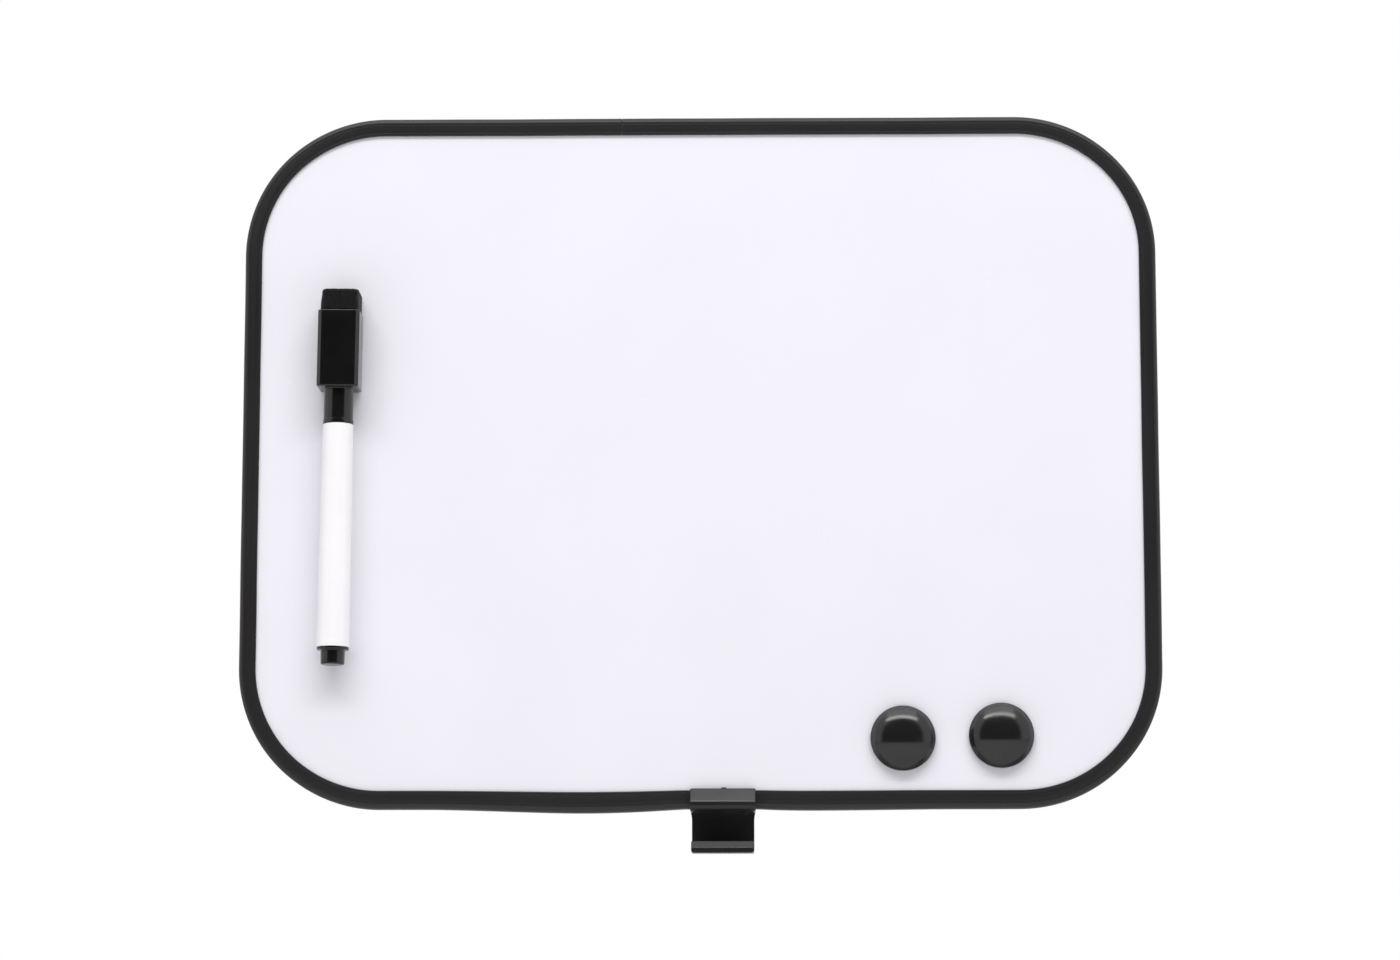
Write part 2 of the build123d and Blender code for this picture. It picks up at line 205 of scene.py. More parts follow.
class EdgingSettings(bpy.types.PropertyGroup):
    """The soft black strip round the board."""

    colour: bpy.props.FloatVectorProperty(
        name="Plastic", description="Colour of the extruded strip", subtype="COLOR",
        default=(0.0105, 0.0089, 0.0102), min=0.0, max=1.0)
    left_sag: bpy.props.FloatProperty(
        name="Left sag", description="How far the lower run hangs loose left of the clip", unit="LENGTH",
        default=0.00115, min=0.0, max=0.003)
    right_sag: bpy.props.FloatProperty(
        name="Right sag", description="How far the lower run hangs loose right of the clip", unit="LENGTH",
        default=0.00038, min=0.0, max=0.003)
    side_trim: bpy.props.FloatProperty(
        name="Side trim", description="How much narrower the face is on the upright sides", unit="LENGTH",
        default=0.00027, min=0.0, max=0.001)
    right_bulge: bpy.props.FloatProperty(
        name="Right bulge", description="How far the right side stands off the board", unit="LENGTH",
        default=0.00022, min=0.0, max=0.001)
    ripple: bpy.props.FloatProperty(
        name="Ripple", description="Height of the strip's slow waves along its run", unit="LENGTH",
        default=0.00005, min=0.0, max=0.0005)


class ClipSettings(bpy.types.PropertyGroup):
    """The clip that carries the marker on the lower edge."""

    colour: bpy.props.FloatVectorProperty(
        name="Plastic", description="Colour of the moulded clip", subtype="COLOR",
        default=(0.0180, 0.0172, 0.0178), min=0.0, max=1.0)
    side_round: bpy.props.FloatProperty(
        name="Side rounding", description="Radius of the clip's side edges", unit="LENGTH",
        default=0.00032, min=0.00005, max=0.00045)


class MagnetSettings(bpy.types.PropertyGroup):
    """The two domes with a ferrite disc inside."""

    colour: bpy.props.FloatVectorProperty(
        name="Plastic", description="Colour of the moulded domes", subtype="COLOR",
        default=(0.014, 0.013, 0.0135), min=0.0, max=1.0)
    shoulder_round: bpy.props.FloatProperty(
        name="Shoulder rounding", description="Radius between the crown and the sloped rim", unit="LENGTH",
        default=0.0006, min=0.0001, max=0.001)


class MarkerSettings(bpy.types.PropertyGroup):
    """The marker, its cap and the felt on the cap."""

    barrel_colour: bpy.props.FloatVectorProperty(
        name="Barrel", description="Colour of the tube", subtype="COLOR",
        default=(0.93, 0.915, 0.93), min=0.0, max=1.0)
    cap_colour: bpy.props.FloatVectorProperty(
        name="Cap", description="Colour of the cap and the end plug", subtype="COLOR",
        default=(0.0075, 0.007, 0.007), min=0.0, max=1.0)
    felt_colour: bpy.props.FloatVectorProperty(
        name="Felt", description="Colour of the eraser's felt", subtype="COLOR",
        default=(0.0060, 0.0058, 0.0062), min=0.0, max=1.0)
    hair_count: bpy.props.IntProperty(
        name="Felt hairs", description="Number of loose hairs that stand out of the felt",
        default=620, min=0, max=2000)
    hair_length: bpy.props.FloatProperty(
        name="Hair length", description="Length of a long loose hair", unit="LENGTH",
        default=0.0007, min=0.0001, max=0.002)
    seed: bpy.props.IntProperty(
        name="Seed", description="Number that the places of the hairs are drawn from", default=7, min=0)


class PadSettings(bpy.types.PropertyGroup):
    """The foam squares that hold the board on the wall."""

    foam_colour: bpy.props.FloatVectorProperty(
        name="Foam", description="Colour of the foam", subtype="COLOR",
        default=(0.80, 0.80, 0.78), min=0.0, max=1.0)
    liner_colour: bpy.props.FloatVectorProperty(
        name="Liner", description="Colour of the waxed release paper", subtype="COLOR",
        default=(0.84, 0.76, 0.55), min=0.0, max=1.0)
    draw_in: bpy.props.FloatProperty(
        name="Draw-in", description="How far a cut side draws in halfway up", unit="LENGTH",
        default=0.00022, min=0.0, max=0.001)


class StageSettings(bpy.types.PropertyGroup):
    """Camera, lamps, world and floor."""

    camera_place: bpy.props.FloatVectorProperty(
        name="Camera place", description="Where the camera stands", subtype="XYZ", unit="LENGTH",
        default=(0.0242, -1.2928, -0.2037))
    camera_aim: bpy.props.FloatVectorProperty(
        name="Camera aim", description="The point that the camera looks at", subtype="XYZ", unit="LENGTH",
        default=(0.0, -0.008, -0.0002))
    camera_lens: bpy.props.FloatProperty(
        name="Lens", description="Focal length in millimetres on a 36 mm sensor", default=109.6, min=10.0)
    camera_shift: bpy.props.FloatVectorProperty(
        name="Shift", description="Shift that frames the picture as the photograph is framed", size=2,
        default=(0.0005, -0.015))
    floor_level: bpy.props.FloatProperty(
        name="Floor level", description="Height of the floor, below the camera", unit="LENGTH",
        default=-0.26)
    floor_colour: bpy.props.FloatVectorProperty(
        name="Floor", description="Colour of the floor", subtype="COLOR",
        default=(0.92, 0.92, 0.92), min=0.0, max=1.0)
    world_light: bpy.props.FloatProperty(
        name="World light", description="Strength of the white world on matte surfaces",
        default=0.40, min=0.0)
    softbox_power: bpy.props.FloatProperty(
        name="Softbox", description="Power of the large lamp overhead", unit="POWER", default=8.0, min=0.0)
    key_power: bpy.props.FloatProperty(
        name="Key strip", description="Power of the long lamp along the softbox's lower edge", unit="POWER",
        default=10.5, min=0.0)
    fill_power: bpy.props.FloatProperty(
        name="Upper fill", description="Power of the wide lamp above, which glossy surfaces don't show",
        unit="POWER", default=12.0, min=0.0)


class WhiteboardSettings(bpy.types.PropertyGroup):
    """All settings of the board."""

    panel: bpy.props.PointerProperty(type=PanelSettings)
    edging: bpy.props.PointerProperty(type=EdgingSettings)
    clip: bpy.props.PointerProperty(type=ClipSettings)
    magnets: bpy.props.PointerProperty(type=MagnetSettings)
    marker: bpy.props.PointerProperty(type=MarkerSettings)
    pads: bpy.props.PointerProperty(type=PadSettings)
    stage: bpy.props.PointerProperty(type=StageSettings)


def placed(points):
    """Turns (x, out, z) in millimetres into the model's metres: out becomes minus y."""
    return np.asarray(points, float) * (MM, -MM, MM)


def grid_faces(rows, columns, close_columns=False):
    """Quads over a grid of points: each joins a point, the next one in its row, and the two behind
    them in the next row. Closed columns join the last column to the first."""
    row = np.arange(rows - 1)[:, None]
    column = np.arange(columns if close_columns else columns - 1)[None, :]
    following = (column + 1) % columns
    corners = [row * columns + column, row * columns + following]
    corners += [(row + 1) * columns + following, (row + 1) * columns + column]
    return np.stack(corners, axis=-1).reshape(-1, 4)


def shell(points, close_columns=False):
    """A grid of points, rows by columns, as a list of points and its quads."""
    rows, columns = points.shape[:2]
    return points.reshape(-1, 3), grid_faces(rows, columns, close_columns)


def make_piece(name, shells, sharp=40.0, run=None):
    """Joins shells into one closed mesh object at the origin.

    Points that lie on each other are merged, so seams and poles close, and the faces are then
    turned outwards. run holds one pattern coordinate per point, along and across the surface.
    """
    old = bpy.data.objects.get(name)
    if old:
        bpy.data.objects.remove(old)
    starts = np.cumsum([0] + [len(points) for points, _ in shells[:-1]])
    points = np.concatenate([points for points, faces in shells])
    faces = np.concatenate([faces + start for (_, faces), start in zip(shells, starts)])
    mesh = bpy.data.meshes.new(name)
    mesh.from_pydata(placed(points).tolist(), [], faces.tolist())
    if run is not None:
        pattern = mesh.attributes.new("run", "FLOAT_VECTOR", "POINT")
        pattern.data.foreach_set("vector", np.asarray(run, np.float32).ravel())
    work = bmesh.new()
    work.from_mesh(mesh)
    bmesh.ops.remove_doubles(work, verts=work.verts, dist=2e-7)
    bmesh.ops.recalc_face_normals(work, faces=work.faces)
    work.to_mesh(mesh)
    work.free()
    mesh.shade_smooth()
    mesh.set_sharp_from_angle(angle=np.radians(sharp))
    piece = bpy.data.objects.new(name, mesh)
    bpy.context.scene.collection.objects.link(piece)
    return piece


def settle(piece, body, slot, material, *nodes):
    """Gives a finished piece its material and its body, and hides the nodes that it stands for. The slot is
    not used.
    """
    piece.data.materials.append(material)
    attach(piece, body)
    if nodes:
        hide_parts(*nodes)


def dress(material, *nodes):
    """Gives nodes that stay as they are a better material."""
    for name in nodes:
        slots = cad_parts[name].data.materials
        slots.clear()
        slots.append(material)


def unit(vectors):
    """Vectors at length one."""
    return vectors / np.linalg.norm(vectors, axis=-1, keepdims=True)


def arcs_at(corners, before, after, radii, bends):
    """One arc of points for each corner of an outline.

    The arc's centre lies on the line that halves the corner, radius / sin(half the angle) away from
    it. Its points turn evenly from the tangent point on one side to that on the other: with share s
    of the turn t, a point is (sin((1 - s) t) start + sin(s t) end) / sin(t) from the centre.
    """
    radii = np.asarray(radii, float)[:, None]
    back = unit(before - corners)
    ahead = unit(after - corners)
    half = np.arccos(np.clip((back * ahead).sum(axis=1, keepdims=True), -1, 1)) / 2
    centres = corners + unit(back + ahead) * radii / np.sin(half)
    start = corners + back * radii / np.tan(half) - centres
    end = corners + ahead * radii / np.tan(half) - centres
    turn = (np.pi - 2 * half)[:, None]
    share = np.linspace(0, 1, bends + 1)[None, :, None]
    swing = np.sin((1 - share) * turn) * start[:, None] + np.sin(share * turn) * end[:, None]
    return centres[:, None] + swing / np.sin(turn)


def rounded_line(corners, radii, bends=6):
    """An open line whose inner corners are arcs. One radius for each inner corner."""
    corners = np.asarray(corners, float)
    arcs = arcs_at(corners[1:-1], corners[:-2], corners[2:], radii, bends)
    return np.vstack([corners[:1], arcs.reshape(-1, 2), corners[-1:]])


def rounded_loop(corners, radii, bends, runs):
    """A closed outline whose corners are arcs and whose runs are cut into equal parts.

    runs holds the number of parts in the run after each corner. The loop starts halfway along the
    last run, so a wall drawn as one side and then the other has point k across from point -1 - k.
    """
    corners = np.asarray(corners, float)
    arcs = arcs_at(corners, np.roll(corners, 1, axis=0), np.roll(corners, -1, axis=0), radii, bends)
    parts = []
    for arc, following, count in zip(arcs, np.roll(arcs, -1, axis=0), runs):
        parts += [arc, np.linspace(arc[-1], following[0], count + 1)[1:-1]]
    return np.roll(np.concatenate(parts), (runs[-1] - 1) // 2, axis=0)


def outward(loop):
    """Unit normals of a closed outline, out of its area: the line between each point's two
    neighbours, turned by a right angle."""
    ahead = np.roll(loop, -1, axis=0)
    side = unit(ahead - np.roll(loop, 1, axis=0))
    area = (loop[:, 0] * ahead[:, 1] - ahead[:, 0] * loop[:, 1]).sum()
    return np.sign(area) * np.column_stack([side[:, 1], -side[:, 0]])


def end_faces(start, count):
    """Quads that close a wall's end: they join each point of one side to the one across from it."""
    near = start + np.arange(count // 2 - 1)
    far = start + count - 1 - np.arange(count // 2 - 1)
    return np.stack([near, near + 1, far - 1, far], axis=-1)


def carried_wall(rows, count):
    """The quads of a closed wall section carried through rows, with both ends closed."""
    sides = grid_faces(rows, count, close_columns=True)
    return np.concatenate([sides, end_faces(0, count), end_faces((rows - 1) * count, count)])


def on_marker(points):
    """Points about an upright axis, put at the marker's place and leaned by its tilt t about z = 0:
    x' = x cos t + z sin t and z' = z cos t - x sin t."""
    x, out, z = np.moveaxis(np.asarray(points, float), -1, 0)
    across = x * np.cos(MARKER_TILT) + z * np.sin(MARKER_TILT)
    height = z * np.cos(MARKER_TILT) - x * np.sin(MARKER_TILT)
    return np.stack([MARKER_X + across, MARKER_OUT + out, height], axis=-1)


def held_line(line, reach=0.2):
    """A line with two more points in each long segment, at a reach from its ends, so that the soft
    shading of a rounded corner stays at the corner."""
    step = np.diff(line, axis=0)
    length = np.linalg.norm(step, axis=1, keepdims=True)
    inset = np.where(length > 4 * reach, reach / np.maximum(length, reach), 0.0)
    rows = np.stack([line[:-1], line[:-1] + step * inset, line[1:] - step * inset], axis=1).reshape(-1, 2)
    rows = np.vstack([rows, line[-1:]])
    return rows[np.append(np.linalg.norm(np.diff(rows, axis=0), axis=1) > 1e-9, True)]


def turned(profile, segments, place=None):
    """A surface of revolution from a profile of (radius, height).

    A point at angle a is (radius cos a, radius sin a) from the axis. That is the marker's axis, or
    one that points out from the board's face at a place.
    """
    profile = held_line(np.asarray(profile, float))
    angle = np.linspace(0, 2 * np.pi, segments, endpoint=False)
    across = profile[:, :1] * np.cos(angle)
    other = profile[:, :1] * np.sin(angle)
    height = np.repeat(profile[:, 1:], segments, axis=1)
    if place is None:
        return shell(on_marker(np.stack([across, other, height], axis=-1)), close_columns=True)
    x, z = place
    return shell(np.stack([x + across, SHEET_FRONT + height, z + other], axis=-1), close_columns=True)


def ripples(points, lengths, height, seed):
    """Smooth random waves over a surface: the mean of sines of the distance along random directions."""
    draw = np.random.default_rng(seed)
    directions = unit(draw.normal(size=(len(lengths), 3)))
    phases = draw.uniform(0, 2 * np.pi, len(lengths))
    waves = np.sin(points @ (directions / np.asarray(lengths)[:, None] * 2 * np.pi).T + phases)
    return height * waves.mean(axis=-1)


def add(tree, kind, settings=None, **named):
    """Adds a node. Settings are its own values. A named input gets a value or is linked."""
    made = tree.nodes.new(kind)
    made.location = (220 * (len(tree.nodes) % 7), -260 * (len(tree.nodes) // 7))
    for key, value in (settings or {}).items():
        setattr(made, key, value)
    for key, value in named.items():
        feed(tree, made.inputs[key.replace("_", " ")], value)
    return made


def feed(tree, socket, value):
    """Links a socket to an output, or sets its value."""
    if isinstance(value, bpy.types.NodeSocket):
        tree.links.new(value, socket)
    else:
        socket.default_value = value


def sum_of(tree, operation, *values, clamp=False):
    """One Math node over one to three values."""
    made = add(tree, "ShaderNodeMath", {"operation": operation, "use_clamp": clamp})
    for socket, value in zip(made.inputs, values):
        feed(tree, socket, value)
    return made.outputs[0]


def blend(tree, share, first, second):
    """A colour between two colours."""
    made = add(tree, "ShaderNodeMix", {"data_type": "RGBA"})
    for socket, value in zip((made.inputs[0], made.inputs[6], made.inputs[7]), (share, first, second)):
        feed(tree, socket, value)
    return made.outputs[2]


def spread(tree, value, low, high, to_low, to_high, smooth=True):
    """A value moved from one range to another, and held inside it."""
    kind = "SMOOTHSTEP" if smooth else "LINEAR"
    made = add(tree, "ShaderNodeMapRange", {"interpolation_type": kind, "clamp": True})
    for socket, number in zip(made.inputs, (value, low, high, to_low, to_high)):
        feed(tree, socket, number)
    return made.outputs[0]


def new_group(name, inputs, outputs):
    """A shader node group with named inputs and outputs: its tree and both ends."""
    tree = bpy.data.node_groups.new(name, "ShaderNodeTree")
    for label, kind, value in inputs:
        socket = tree.interface.new_socket(label, in_out="INPUT", socket_type=kind)
        if value is not None:
            socket.default_value = value
    for label, kind in outputs:
        tree.interface.new_socket(label, in_out="OUTPUT", socket_type=kind)
    start = tree.nodes.new("NodeGroupInput")
    end = tree.nodes.new("NodeGroupOutput")
    return tree, start.outputs, end.inputs


NUMBER = "NodeSocketFloat"
VECTOR = "NodeSocketVector"
DUST = (0.5, 0.5, 0.5, 1.0)


def grain_group():
    """Fine and slow unevenness. Height is fine noise. Variation is slow noise from 0 to 1."""
    tree, given, out = new_group(
        "Grain",
        [("Place", VECTOR, None), ("Scale", NUMBER, 2000.0), ("Slow Scale", NUMBER, 60.0)],
        [("Height", NUMBER), ("Variation", NUMBER)],
    )
    fine = add(tree, "ShaderNodeTexNoise", Vector=given["Place"], Scale=given["Scale"], Detail=3.0)
    slow = add(tree, "ShaderNodeTexNoise", Vector=given["Place"], Scale=given["Slow Scale"], Detail=2.0)
    feed(tree, out["Height"], fine.outputs["Fac"])
    feed(tree, out["Variation"], spread(tree, slow.outputs["Fac"], 0.3, 0.7, 0.0, 1.0))
    return tree


def specks_group():
    """Sparse round specks: near the middle of a few of a Voronoi pattern's cells."""
    tree, given, out = new_group(
        "Specks",
        [("Place", VECTOR, None), ("Scale", NUMBER, 300.0), ("Share", NUMBER, 0.1), ("Size", NUMBER, 0.12)],
        [("Mask", NUMBER)],
    )
    cells = add(tree, "ShaderNodeTexVoronoi", Vector=given["Place"], Scale=given["Scale"])
    split = add(tree, "ShaderNodeSeparateColor", Color=cells.outputs["Color"])
    chosen = sum_of(tree, "LESS_THAN", split.outputs[0], given["Share"])
    reach = sum_of(tree, "MULTIPLY", given["Size"], split.outputs[1])
    near = spread(tree, cells.outputs["Distance"], 0.0, reach, 1.0, 0.0)
    feed(tree, out["Mask"], sum_of(tree, "MULTIPLY", chosen, near))
    return tree


def scuffs_group():
    """Fine scratches: thin lines where stretched noise crosses its middle value, in some patches."""
    tree, given, out = new_group(
        "Scuffs",
        [
            ("Place", VECTOR, None), ("Scale", NUMBER, 120.0),
            ("Width", NUMBER, 0.004), ("Share", NUMBER, 0.45),
        ],
        [("Mask", NUMBER)],
    )
    lines = []
    for turn, stretch in ((0.5, (1.0, 1.0, 9.0)), (2.1, (8.0, 1.0, 1.0))):
        laid = add(tree, "ShaderNodeMapping", Vector=given["Place"])
        laid.inputs["Rotation"].default_value = (turn, turn * 0.7, turn * 1.3)
        laid.inputs["Scale"].default_value = stretch
        noise = add(tree, "ShaderNodeTexNoise", Vector=laid.outputs[0], Scale=given["Scale"], Detail=0.0)
        off = sum_of(tree, "ABSOLUTE", sum_of(tree, "SUBTRACT", noise.outputs["Fac"], 0.5))
        lines.append(spread(tree, off, 0.0, given["Width"], 1.0, 0.0))
    both = sum_of(tree, "MAXIMUM", *lines)
    patches = add(tree, "ShaderNodeTexNoise", Vector=given["Place"], Scale=150.0, Detail=1.0)
    kept = sum_of(tree, "LESS_THAN", patches.outputs["Fac"], given["Share"])
    feed(tree, out["Mask"], sum_of(tree, "MULTIPLY", both, kept))
    return tree


def fibres_group():
    """Short tangled fibres: noise stretched along three directions and bent by its own distortion."""
    tree, given, out = new_group(
        "Fibres",
        [("Place", VECTOR, None), ("Scale", NUMBER, 1500.0), ("Tangle", NUMBER, 1.2)],
        [("Height", NUMBER), ("Mask", NUMBER)],
    )
    strands = []
    lays = (
        ((0, 0, 0), (1, 1, 0.2)),
        ((1.2, 0.4, 0), (0.2, 1, 1)),
        ((0.3, 1.1, 0.9), (1, 0.2, 1)),
    )
    for turn, stretch in lays:
        laid = add(tree, "ShaderNodeMapping", Vector=given["Place"])
        laid.inputs["Rotation"].default_value = turn
        laid.inputs["Scale"].default_value = stretch
        noise = add(
            tree, "ShaderNodeTexNoise", Vector=laid.outputs[0], Scale=given["Scale"], Detail=2.0,
            Distortion=given["Tangle"])
        strands.append(noise.outputs["Fac"])
    height = sum_of(tree, "MAXIMUM", sum_of(tree, "MAXIMUM", *strands[:2]), strands[2])
    feed(tree, out["Height"], height)
    feed(tree, out["Mask"], spread(tree, height, 0.55, 0.75, 0.0, 1.0))
    return tree


def drawn_lines_group():
    """Lines left by an extruder's die: noise that changes fast across the strip and slowly along it."""
    tree, given, out = new_group(
        "Drawn lines",
        [("Run", VECTOR, None), ("Across", NUMBER, 4000.0), ("Along", NUMBER, 12.0)],
        [("Height", NUMBER), ("Mask", NUMBER)],
    )
    split = add(tree, "ShaderNodeSeparateXYZ", Vector=given["Run"])
    along = sum_of(tree, "MULTIPLY", split.outputs[0], given["Along"])
    across = sum_of(tree, "MULTIPLY", split.outputs[1], given["Across"])
    place = add(tree, "ShaderNodeCombineXYZ", X=along, Y=across)
    lines = add(tree, "ShaderNodeTexNoise", Vector=place.outputs[0], Scale=1.0, Detail=3.0, Roughness=0.65)
    feed(tree, out["Height"], lines.outputs["Fac"])
    feed(tree, out["Mask"], spread(tree, lines.outputs["Fac"], 0.56, 0.72, 0.0, 1.0))
    return tree


GROUP_MAKERS = {
    "Grain": grain_group,
    "Specks": specks_group,
    "Scuffs": scuffs_group,
    "Fibres": fibres_group,
    "Drawn lines": drawn_lines_group,
}


def effect(tree, name, **named):
    """Places one of the shared groups in a material, made at its first use."""
    group = bpy.data.node_groups.get(name) or GROUP_MAKERS[name]()
    return add(tree, "ShaderNodeGroup", {"node_tree": group}, **named).outputs


def new_material(name, roughness, **plain):
    """A material with its shader's even values set: its tree, its shader and Object coordinates."""
    material = bpy.data.materials.new(name)
    material.use_nodes = True
    tree = material.node_tree
    shader = tree.nodes["Principled BSDF"]
    shader.inputs["Roughness"].default_value = roughness
    for key, value in plain.items():
        shader.inputs[key.replace("_", " ")].default_value = value
    place = add(tree, "ShaderNodeTexCoord").outputs["Object"]
    return material, tree, shader, place


def raise_surface(tree, shader, height, depth, strength=1.0):
    """Feeds a height to the shader as a bump of some depth in metres."""
    bump = add(tree, "ShaderNodeBump", Height=height, Distance=depth, Strength=strength)
    feed(tree, shader.inputs["Normal"], bump.outputs[0])


def rgba(colour, share=1.0):
    """A colour as four numbers, made darker or lighter by a share."""
    return (*(channel * share for channel in colour), 1.0)


def moulded_plastic(
    name, colour, roughness, grain_scale, grain_depth, dust=0.03, scuff=0.25, contrast=0.08, **plain
):
    """Moulded plastic: fine grain, slow changes of tone and gloss, faint scratches and some dust."""
    material, tree, shader, place = new_material(name, roughness, **plain)
    grain = effect(tree, "Grain", Place=place, Scale=grain_scale, Slow_Scale=90.0)
    scuffs = effect(tree, "Scuffs", Place=place, Scale=160.0, Width=0.006, Share=0.42)
    specks = effect(tree, "Specks", Place=place, Scale=420.0, Share=0.05, Size=0.16)
    tone = blend(tree, grain["Variation"], rgba(colour, 1 - contrast), rgba(colour, 1 + contrast))
    dusty = sum_of(tree, "MULTIPLY", specks["Mask"], dust)
    feed(tree, shader.inputs["Base Color"], blend(tree, dusty, tone, DUST))
    uneven = sum_of(tree, "MULTIPLY_ADD", grain["Variation"], 0.05, roughness - 0.025)
    worn = sum_of(tree, "MULTIPLY_ADD", scuffs["Mask"], scuff, uneven, clamp=True)
    feed(tree, shader.inputs["Roughness"], worn)
    raise_surface(tree, shader, grain["Height"], grain_depth)
    return material


def coated_steel(colour):
    """Glossy white coating: a faint orange peel, a faint tint from wiped ink and a few dark specks."""
    material, tree, shader, place = new_material("coated_steel", 0.2, Specular_IOR_Level=0.5)
    grain = effect(tree, "Grain", Place=place, Scale=700.0, Slow_Scale=22.0)
    specks = effect(tree, "Specks", Place=place, Scale=110.0, Share=0.12, Size=0.09)
    scuffs = effect(tree, "Scuffs", Place=place, Scale=30.0, Width=0.0015, Share=0.4)
    tone = blend(tree, grain["Variation"], rgba(colour, 0.985), rgba(colour, 1.0))
    spotted = blend(tree, sum_of(tree, "MULTIPLY", specks["Mask"], 0.35), tone, (0.25, 0.25, 0.28, 1.0))
    feed(tree, shader.inputs["Base Color"], spotted)
    gloss = sum_of(tree, "MULTIPLY_ADD", grain["Variation"], 0.05, 0.17)
    feed(tree, shader.inputs["Roughness"], sum_of(tree, "MULTIPLY_ADD", scuffs["Mask"], 0.2, gloss))
    raise_surface(tree, shader, grain["Height"], 0.000004)
    return material


def pressed_fibreboard(colour):
    """Hard fibreboard: mixed brown fibres, rough on its cut edge."""
    material, tree, shader, place = new_material("pressed_fibreboard", 0.85)
    fibres = effect(tree, "Fibres", Place=place, Scale=1800.0, Tangle=1.5)
    grain = effect(tree, "Grain", Place=place, Scale=5000.0, Slow_Scale=120.0)
    tone = blend(tree, fibres["Mask"], rgba(colour, 0.7), rgba(colour, 1.35))
    feed(tree, shader.inputs["Base Color"], blend(tree, grain["Variation"], tone, rgba(colour, 0.9)))
    raise_surface(tree, shader, fibres["Height"], 0.00015)
    return material


def plain_paper(name, colour, roughness, contrast):
    """Paper or card: a tangle of fine fibres in two close tones."""
    material, tree, shader, place = new_material(name, roughness)
    fibres = effect(tree, "Fibres", Place=place, Scale=2600.0, Tangle=0.9)
    grain = effect(tree, "Grain", Place=place, Scale=3000.0, Slow_Scale=45.0)
    light, dark = rgba(colour, 1.0 + contrast), rgba(colour, 1.0 - contrast)
    tone = blend(tree, fibres["Mask"], dark, light)
    slow = sum_of(tree, "MULTIPLY", grain["Variation"], 0.3)
    feed(tree, shader.inputs["Base Color"], blend(tree, slow, tone, rgba(colour, 0.95)))
    raise_surface(tree, shader, fibres["Height"], 0.00003)
    return material


def extruded_strip(colour):
    """Soft extruded plastic: die lines along its run, some duller than others, and a little dust."""
    material, tree, shader, place = new_material("extruded_strip", 0.48, Specular_IOR_Level=0.5)
    run = add(tree, "ShaderNodeAttribute", {"attribute_name": "run"}).outputs["Vector"]
    lines = effect(tree, "Drawn lines", Run=run, Across=1900.0, Along=7.0)
    grain = effect(tree, "Grain", Place=place, Scale=2600.0, Slow_Scale=28.0)
    specks = effect(tree, "Specks", Place=place, Scale=380.0, Share=0.05, Size=0.14)
    tone = blend(tree, lines["Mask"], rgba(colour), rgba(colour, 1.5))
    tone = blend(tree, sum_of(tree, "MULTIPLY", grain["Variation"], 0.5), tone, rgba(colour, 0.8))
    dusty = sum_of(tree, "MULTIPLY", specks["Mask"], 0.05)
    feed(tree, shader.inputs["Base Color"], blend(tree, dusty, tone, DUST))
    gloss = sum_of(tree, "MULTIPLY_ADD", lines["Height"], 0.24, 0.29)
    feed(tree, shader.inputs["Roughness"], sum_of(tree, "MULTIPLY_ADD", grain["Variation"], 0.06, gloss))
    raised = sum_of(tree, "MULTIPLY_ADD", grain["Height"], 0.15, lines["Height"])
    raise_surface(tree, shader, raised, 0.00003)
    return material


def pressed_felt(colour):
    """Felt: matte tangled fibres with a lighter nap and a little lint."""
    material, tree, shader, place = new_material(
        "pressed_felt", 0.95, Specular_IOR_Level=0.2, Sheen_Weight=0.12)
    fibres = effect(tree, "Fibres", Place=place, Scale=2400.0, Tangle=2.2)
    specks = effect(tree, "Specks", Place=place, Scale=1400.0, Share=0.07, Size=0.2)
    tone = blend(tree, fibres["Mask"], rgba(colour, 0.6), rgba(colour, 2.1))
    lint = sum_of(tree, "MULTIPLY", specks["Mask"], 0.08)
    feed(tree, shader.inputs["Base Color"], blend(tree, lint, tone, DUST))
    raise_surface(tree, shader, fibres["Height"], 0.00025)
    return material


def closed_cell_foam(colour):
    """Foam: small cells that open on the cut sides and show as pits on the skin, with painted shade darkening
    each pit's bottom.
    """
    material, tree, shader, place = new_material("closed_cell_foam", 0.8)
    cells = add(tree, "ShaderNodeTexVoronoi", {"feature": "SMOOTH_F1"}, Vector=place, Scale=2400.0)
    grain = effect(tree, "Grain", Place=place, Scale=900.0, Slow_Scale=70.0)
    pit_depth_and_shade = spread(tree, cells.outputs["Distance"], 0.1, 0.55, 0.0, 1.0)
    # Painted shade: each pit's bottom is darkened to 0.72 of the foam's colour, and the same mask sinks the
    # pit as a bump.
    tone = blend(tree, pit_depth_and_shade, rgba(colour, 0.72), rgba(colour))
    feed(tree, shader.inputs["Base Color"], blend(tree, grain["Variation"], tone, rgba(colour, 0.96)))
    raise_surface(tree, shader, pit_depth_and_shade, 0.00012)
    return material


def sintered_ferrite():
    """Ferrite: dark grey, matte, with pores and a ground face."""
    material, tree, shader, place = new_material("sintered_ferrite", 0.62, Metallic=0.0)
    grain = effect(tree, "Grain", Place=place, Scale=3500.0, Slow_Scale=140.0)
    specks = effect(tree, "Specks", Place=place, Scale=1500.0, Share=0.3, Size=0.3)
    tone = blend(tree, grain["Variation"], (0.055, 0.056, 0.058, 1.0), (0.085, 0.085, 0.086, 1.0))
    feed(tree, shader.inputs["Base Color"], blend(tree, specks["Mask"], tone, (0.02, 0.02, 0.02, 1.0)))
    rough = sum_of(tree, "MULTIPLY_ADD", grain["Height"], 0.3, 0.45)
    feed(tree, shader.inputs["Roughness"], rough)
    raise_surface(tree, shader, grain["Height"], 0.00003)
    return material


